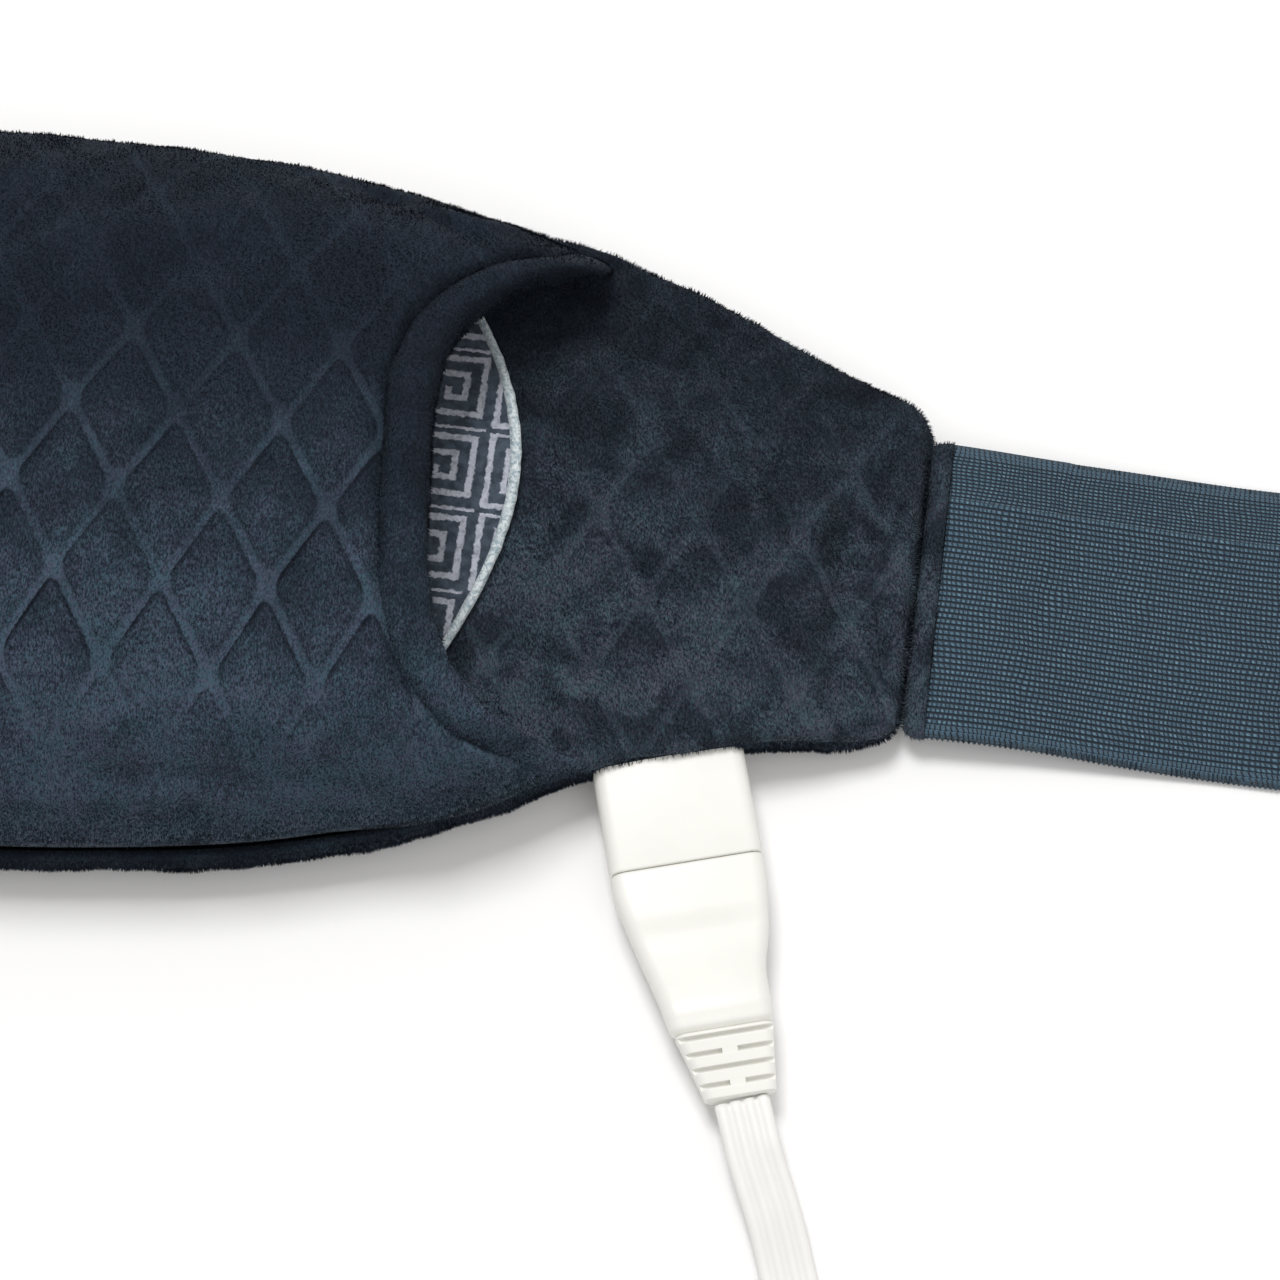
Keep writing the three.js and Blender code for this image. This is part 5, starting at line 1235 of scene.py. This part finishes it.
SHELL_HALF = (15.1, 4.7)
PLUG_START, PLUG_LENGTH = 22.1, 33.2
PLUG_WIDTHS = (30.2, 20.0)
PLUG_TAPER = [(0, 0), (0.14, 0), (0.25, 0.14), (0.5, 0.42), (0.75, 0.75), (0.95, 0.97), (1, 1)]
RELIEF_START, RELIEF_LENGTH = 55.4, 13.2
RELIEF_WIDTHS, RELIEF_HEIGHTS = (19.4, 14.0), (6.6, 4.8)
RELIEF_SLOTS = ((0.09, False), (0.33, True), (0.56, False), (0.80, True))  # where, and whether bridged
BRIDGE = 3.0
BOX_SIDES = 28


def at_socket(along, across, z):
    """A point in the socket's frame, with along pointing out of the muff, in the object's frame."""
    c, s = math.cos(SOCKET_TURN), math.sin(SOCKET_TURN)
    return SOCKET_AT.x + along * s + across * c, SOCKET_AT.y - along * c + across * s, z


def narrowing(share):
    """How far the plug's sides have come in, from 0 at its start to 1 at its end."""
    for (a, x), (b, y) in zip(PLUG_TAPER, PLUG_TAPER[1:]):
        if share <= b:
            return mix(x, y, (share - a) / (b - a))
    return 1.0


def shell_ring(station, k):
    """Outline of the socket's housing. A station is its place along it, and how far its sides are set in.
    """
    along, inset = station
    across, up = round_box(k, SHELL_HALF[0] - inset, SHELL_HALF[1] - inset, 2.6 - inset * 0.8)
    return at_socket(along, across, PIN_Z + up)


def plug_ring(share, k):
    """Outline of the plug, which narrows towards the cord. Negative shares are its nose."""
    if share < 0:  # the nose inside the socket
        across, up = round_box(k, 13.2, 2.8, 1.0)
        return at_socket(PLUG_START - 12 if share < -0.5 else PLUG_START, across, PIN_Z + up)
    narrow = sum(narrowing(min(1, max(0, share + d))) for d in (-0.06, -0.03, 0, 0.03, 0.06)) / 5
    start = max(0.0, 1 - share / 0.02) ** 2 * 0.6 if share < 0.02 else 0.0
    tip = max(0.0, (share - 0.955) / 0.045)
    thick = mix(9.4, 8.2, smooth(share, 0.28, 0.42)) - 0.9 * smooth(share, 0.5, 0.84)
    thick += 0.5 * math.exp(-((share - 0.88) / 0.035) ** 2)
    half_height = thick / 2 - 0.55 * start - 1.3 * tip ** 2
    half_width = mix(*PLUG_WIDTHS, narrow) / 2 - 0.55 * start - 0.8 * tip ** 2
    across, up = round_box(k, half_width, half_height, 2.6)
    up *= 1 + 0.07 * smooth(share, 0.3, 1.0) * (1 - (across / half_width) ** 2)
    waist = 0.9 * math.exp(-((share - 0.68) / 0.16) ** 2) * max(0.0, across / half_width)
    return at_socket(PLUG_START + share * PLUG_LENGTH, across + 1.35 * narrow - waist, PIN_Z + up)


def relief_size(share):
    """Thickness, middle across the cord, and place along it, of the slotted relief."""
    return mix(*RELIEF_HEIGHTS, share), mix(1.6, 2.6, share), RELIEF_START + share * RELIEF_LENGTH


def relief_ring(share, k):
    """Outline of the strain relief before it is slotted."""
    thick, middle, along = relief_size(share)
    edge = 0.35 * (share < 0.01 or share > 0.99)
    half_width = mix(*RELIEF_WIDTHS, share ** 0.9) / 2
    across, up = round_box(k, half_width - edge, thick / 2 - edge, 1.9)
    up *= 1 + 0.12 * (1 - (across / half_width) ** 2)
    return at_socket(along, across + middle, PIN_Z - share + up)


def slot_cutter():
    """Boxes where the relief is slotted, above and below."""
    slots = bmesh.new()
    turn = Matrix.Rotation(SOCKET_TURN - math.pi / 2, 4, "Z")
    for share, bridged in RELIEF_SLOTS:
        half = mix(*RELIEF_WIDTHS, share) / 2 + 1
        thick, middle, along = relief_size(share)
        spans = [(-half, -BRIDGE / 2), (BRIDGE / 2, half)] if bridged else [(-half, half)]
        for low, high in spans:
            for way in (1, -1):
                face = PIN_Z - share + way * thick / 2
                made = bmesh.ops.create_cube(slots, size=1.0)["verts"]
                size = Matrix.Diagonal((1.05, high - low, 2.2, 1))
                where = Matrix.Translation(at_socket(along, middle + (low + high) / 2, face))
                bmesh.ops.transform(slots, matrix=Matrix.Scale(MM, 4) @ where @ turn @ size, verts=made)
    return finish_mesh("slot_cutter", slots, smooth_faces=False)


class BELT_OT_connector(PieceOperator):
    """Builds the socket's housing, the plug and its slotted strain relief."""

    bl_idname = "belt.connector"
    bl_label = "Connector"

    def build(self, sizes):
        stations = [(-12, 0.5), (-11.5, 0.1), (-11, 0), (21.3, 0), (21.7, 0.12), (21.8, 0.3), (21.8, 1.2),
                    (21.4, 1.6), (-10.4, 1.6)]
        for name, node, keep in (("socket_top", "socket_upper_shell", 1),
                                 ("socket_base", "socket_lower_shell", -1)):
            half = tube(name, BOX_SIDES, stations, shell_ring)
            mesh = bmesh.new()
            mesh.from_mesh(half.data)
            cut = bmesh.ops.bisect_plane(
                mesh, geom=list(mesh.verts) + list(mesh.edges) + list(mesh.faces), dist=1e-6,
                plane_co=(0, 0, (PIN_Z + keep * 0.12) * MM), plane_no=(0, 0, -keep), clear_outer=True)
            edges = [g for g in cut["geom_cut"] if isinstance(g, bmesh.types.BMEdge)]
            bmesh.ops.holes_fill(mesh, edges=edges, sides=0)
            mesh.to_mesh(half.data)
            mesh.free()
            dress(bevelled(half, 0.12), "ivory", "belt", "ivory_plastic", node)

        shares = [-1, -0.2, 0, 0.006, 0.012, 0.02, 0.04] + [0.06 + 0.89 * i / 40 for i in range(41)] + [
            0.965, 0.975, 0.985, 0.993, 1.0]
        plug = tube("plug_shell", BOX_SIDES, shares, plug_ring)
        dress(bevelled(plug, 0.1, 1, 50), "ivory", "lead", "ivory_plastic", "plug_body")

        shares = [0, 0.02] + [0.05 + 0.9 * i / 24 for i in range(25)] + [0.98, 1.0]
        relief = tube("slotted_relief", BOX_SIDES, shares, relief_ring)
        cutter = slot_cutter()
        hollow = relief.modifiers.new("slots", "BOOLEAN")
        hollow.operation, hollow.object, hollow.solver = "DIFFERENCE", cutter, "EXACT"
        bpy.context.view_layer.update()
        applied(relief)
        bpy.data.objects.remove(cutter)
        dress(bevelled(relief, 0.16, 2, 35), "relief", "lead", "ivory_plastic", "plug_relief")


# Cords


def spline(points, spacing):
    """Points along a smooth curve through the given ones, about that far apart."""
    made = []
    count = len(points)
    for i in range(count - 1):
        a, b = points[i], points[i + 1]
        before = points[i - 1] if i else a - (b - a)
        after = points[i + 2] if i + 2 < count else b + (b - a)
        span = (b - a).length
        start = (b - before).normalized() * span
        end = (after - a).normalized() * span
        steps = max(1, round(span / spacing))
        for k in range(steps):
            t = k / steps
            h00, h10 = 2 * t ** 3 - 3 * t ** 2 + 1, t ** 3 - 2 * t ** 2 + t
            h01, h11 = 3 * t ** 2 - 2 * t ** 3, t ** 3 - t ** 2
            made.append(a * h00 + start * h10 + b * h01 + end * h11)
    return made + [points[-1]]


def coil_points(centre, radius, pitch, rise, climb, begin, turn, lift):
    """A coil that winds in on its lower layer, climbs a layer halfway, and winds out on the upper one."""
    steps = round(turn * radius / COIL_SPACING)
    points = []
    for i in range(steps + 1):
        angle = turn * i / steps
        r = radius - pitch * min(angle, turn - angle) / (2 * math.pi)
        z = lift + rise * smooth(angle, (turn - climb) / 2, (turn + climb) / 2)
        x, y = centre[0] + r * math.cos(begin - angle), centre[1] + r * math.sin(begin - angle)
        points.append(Vector((x, y, z)))
    return points


def cord_mesh(name, points, sides, section):
    """A cord along the points. section(side) is its outline: across the cord, and up."""
    last = len(points) - 1
    frames = []
    for i, point in enumerate(points):
        way = (points[min(last, i + 1)] - points[max(0, i - 1)]).normalized()
        across = way.cross(Vector((0, 0, 1))).normalized()
        frames.append((point, across, across.cross(way).normalized()))

    def ring(i, k):
        point, across, up = frames[i]
        a, b = section(k)
        return point + across * a + up * b

    return tube(name, sides, list(range(last + 1)), ring)


COIL_SPACING = 5
CORE_RADIUS, CORES_AT, WEB_HALF = 1.35, (-4.05, -1.35, 1.35, 4.05), 0.5
FLAT_HALF = CORES_AT[-1] + CORE_RADIUS
MAINS_RADIUS = 2.8
FLAT_RUN = [(167.84, -118.69, 6.5), (169.24, -123.91, 6.5), (170.64, -129.12, 6.3), (174.8, -141.0, 3.8),
            (177.8, -152.0, 2.2), (185.4, -181.0, 1.9), (191.02, -209.25, 2.45)]
FLAT_TAIL = [(114.5, -316.0, 5.65), (109.1, -316.0, 5.65), (88.0, -316.0, 2.2), (66.0, -316.0, 2.6),
             (34.1, -316.0, 9.0), (23.3, -316.0, 9.0)]
MAINS_RUN = [(-147.3, -316.0, 9.0), (-152.9, -316.0, 9.0), (-158.5, -316.0, 9.0), (-178.0, -316.0, 4.6),
             (-194.9, -316.0, 3.9), (-206.1, -316.0, 3.9)]
MAINS_TAIL = [(-258.5, -263.6, 10.0), (-258.5, -258.0, 10.0), (-258.5, -252.4, 10.0), (-258.5, -222.0, 5.2),
              (-258.5, -207.5, 8.5), (-258.5, -196.3, 8.5)]


class BELT_OT_cords(PieceOperator):
    """Builds the flat four-core cord and the mains cord along their routes, and the ties of their coils."""

    bl_idname = "belt.cords"
    bl_label = "Cords and ties"

    def build(self, sizes):
        sides = sizes.cord_sides

        def flat_section(k):
            turn = 2 * k / sides  # 0 to 2, from the right end over the top
            top = turn <= 1
            along = turn if top else 2 - turn
            a = FLAT_HALF * (0.35 * math.cos(math.pi * along) + 0.65 * (1 - 2 * along))
            core = min(CORES_AT, key=lambda c: abs(a - c))
            b = math.sqrt(max(0.0, CORE_RADIUS ** 2 - (a - core) ** 2))
            if abs(a) < CORES_AT[-1]:
                b = max(b, WEB_HALF)
            return a, b if top else -b

        def round_section(k):
            angle = 2 * math.pi * k / 16
            return MAINS_RADIUS * math.cos(angle), MAINS_RADIUS * math.sin(angle)

        def lay(name, run, coil, tail, spacing, sides, section, **declared):
            points = spline([Vector(p) for p in run] + coil + [Vector(p) for p in tail], spacing)
            cord = cord_mesh(name, points, sides, section)
            dress(cord, "cord", "lead", "white_cord", f"{name}_run", f"{name}_coil", f"{name}_tail")
            length = sum((b - a).length for a, b in zip(points, points[1:]))

        flat_coil = coil_points((131, -248), 68, 16, 3.2, math.radians(100), math.radians(15),
                                math.radians(825), 2.45)
        lay("flat_cord", FLAT_RUN, flat_coil, FLAT_TAIL, 1.3, sides, flat_section, diameter=0.0108,
            far_end="object")
        mains_coil = coil_points((-212, -269.5), 46.5, 6.1, 6.1, math.pi, -math.pi / 2,
                                 math.radians(2610), 3.9)
        lay("mains_cord", MAINS_RUN, mains_coil, MAINS_TAIL, 2.2, 16, round_section, diameter=0.0056,
            far_end="plug", with_pieces=["mains_plug_body", "mains_blade_1", "mains_blade_2"])

        for name, node in (("flat_tie", "flat_cord_tie"), ("mains_tie", "mains_cord_tie")):
            low, high = (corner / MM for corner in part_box(node))
            middle, half = (low + high) / 2, (high - low) / 2

            def loop(u, v):
                c, s = math.cos(math.pi * u), math.sin(math.pi * u)
                y = math.copysign(abs(c) ** 0.45, c) * half.y
                z = math.copysign(abs(s) ** 0.6, s) * half.z
                return middle.x + v * half.x, middle.y + y, middle.z + z

            band = sheet(name, 72, 12, loop, thickness=0.8)
            mesh = bmesh.new()
            mesh.from_mesh(band.data)
            bmesh.ops.remove_doubles(mesh, verts=mesh.verts, dist=1e-6)
            bmesh.ops.recalc_face_normals(mesh, faces=mesh.faces)
            mesh.to_mesh(band.data)
            mesh.free()
            dress(band, "tie", "lead", "tie_strap", node)


# Hard parts, stage and panel

# Nodes of the frame that keep their shape, by the material that they get
FINISHES = {
    "ivory": ["controller_upper_shell", "controller_lower_shell", "mains_plug_body"],
    "relief": ["controller_cord_relief", "controller_mains_relief"],
    "grey": ["socket_insert", "power_button", "heat_button", "timer_button"],
    "dark": ["display_window"],
    "board": ["controller_board"],
    "copper": [f"socket_contact_{i}" for i in range(1, 5)],
    "nickel": [f"{part}_{i}" for part in ("plug_pin", "controller_screw") for i in range(1, 5)]
    + ["mains_blade_1", "mains_blade_2"],
    "wire": ["heating_wire"],
    "sensor": ["thermostat", "thermal_fuse"],
    "cord": ["heater_lead"],
}


class BELT_OT_controller(PieceOperator):
    """Finishes the hand controller, the mains plug and the hard parts inside the belt."""

    bl_idname = "belt.controller"
    bl_label = "Controller, mains plug and inner parts"

    def build(self, sizes):
        for finish, names in FINISHES.items():
            for name in names:
                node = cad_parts[name]
                if not node.data.materials:
                    node.data.materials.append(materials[finish])
                for slot in node.material_slots:
                    slot.material = materials[finish]


VIEW_TARGET = Vector((145.0, -23.0, 0.0)) * MM
VIEW_ELEVATION, VIEW_AZIMUTH, VIEW_DISTANCE = math.radians(70), math.radians(2), 0.721
LAMPS = (("key", (-0.22, 0.5, 1.25), 0.45, 10.5), ("fill", (0.5, -0.7, 1.2), 1.2, 3.5))


def aimed(name, data, back):
    """A new object at that offset from the view's target, which it looks at."""
    thing = bpy.data.objects.new(name, data)
    bpy.context.scene.collection.objects.link(thing)
    thing.location = VIEW_TARGET + back
    thing.rotation_mode = "QUATERNION"
    thing.rotation_quaternion = (-back).to_track_quat("-Z", "Y")
    return thing


class BELT_OT_stage(bpy.types.Operator):
    """Sets up the pale floor, the soft studio light and the camera."""

    bl_idname = "belt.stage"
    bl_label = "Stage, light and camera"

    def execute(self, context):
        scene = context.scene
        mesh = bmesh.new()
        bmesh.ops.create_grid(mesh, x_segments=1, y_segments=1, size=4.0)
        floor = finish_mesh("studio_floor", mesh)
        material, _, shader = new_material("matt white paper", 0.9)
        shader.inputs["Base Color"].default_value = linear("#f8f8f8")
        paint(floor, material)

        flat, up = math.cos(VIEW_ELEVATION), math.sin(VIEW_ELEVATION)
        back = Vector((math.sin(VIEW_AZIMUTH) * flat, -math.cos(VIEW_AZIMUTH) * flat, up))
        lens = bpy.data.cameras.new("camera")
        lens.lens, lens.sensor_width = 100, 36
        scene.camera = aimed("camera", lens, back * VIEW_DISTANCE)
        for name, place, size, power in LAMPS:
            light = bpy.data.lights.new(name, "AREA")
            light.size, light.energy = size, power
            aimed(name, light, Vector(place))
        scene.world = bpy.data.worlds.new("studio")
        scene.world.use_nodes = True
        sky = scene.world.node_tree.nodes["Background"]
        sky.inputs["Color"].default_value = (1, 0.98, 0.965, 1)
        sky.inputs["Strength"].default_value = 0.55
        scene.view_settings.view_transform = "Standard"
        return {"FINISHED"}


class BELT_PT_panel(bpy.types.Panel):
    """Lists the belt's sizes, colours and building steps."""

    bl_idname = "BELT_PT_panel"
    bl_label = "Heating belt"
    bl_space_type = "VIEW_3D"
    bl_region_type = "UI"
    bl_category = "Heating belt"

    def draw(self, context):
        for group in (context.scene.belt_sizes, context.scene.belt_colours):
            for name in group.__annotations__:
                self.layout.prop(group, name)
        for step in STEPS:
            self.layout.operator(step.bl_idname)


STEPS = (BELT_OT_stage, BELT_OT_cords, BELT_OT_front, BELT_OT_back, BELT_OT_straps, BELT_OT_connector,
         BELT_OT_controller)
CLASSES = (BeltSizes, BeltColours, *STEPS, BELT_PT_panel)


def register():
    for new_class in CLASSES:
        bpy.utils.register_class(new_class)
    bpy.types.Scene.belt_sizes = PointerProperty(type=BeltSizes)
    bpy.types.Scene.belt_colours = PointerProperty(type=BeltColours)


def unregister():
    del bpy.types.Scene.belt_colours
    del bpy.types.Scene.belt_sizes
    for old_class in reversed(CLASSES):
        bpy.utils.unregister_class(old_class)


def main():
    register()
    scene = bpy.context.scene
    make_materials(scene.belt_sizes, scene.belt_colours)
    bpy.ops.belt.stage()
    bpy.ops.belt.cords()
    bpy.ops.belt.front()
    bpy.ops.belt.back()
    bpy.ops.belt.straps()
    bpy.ops.belt.connector()
    bpy.ops.belt.controller()
    bpy.context.view_layer.update()


if __name__ == "__main__":
    main()
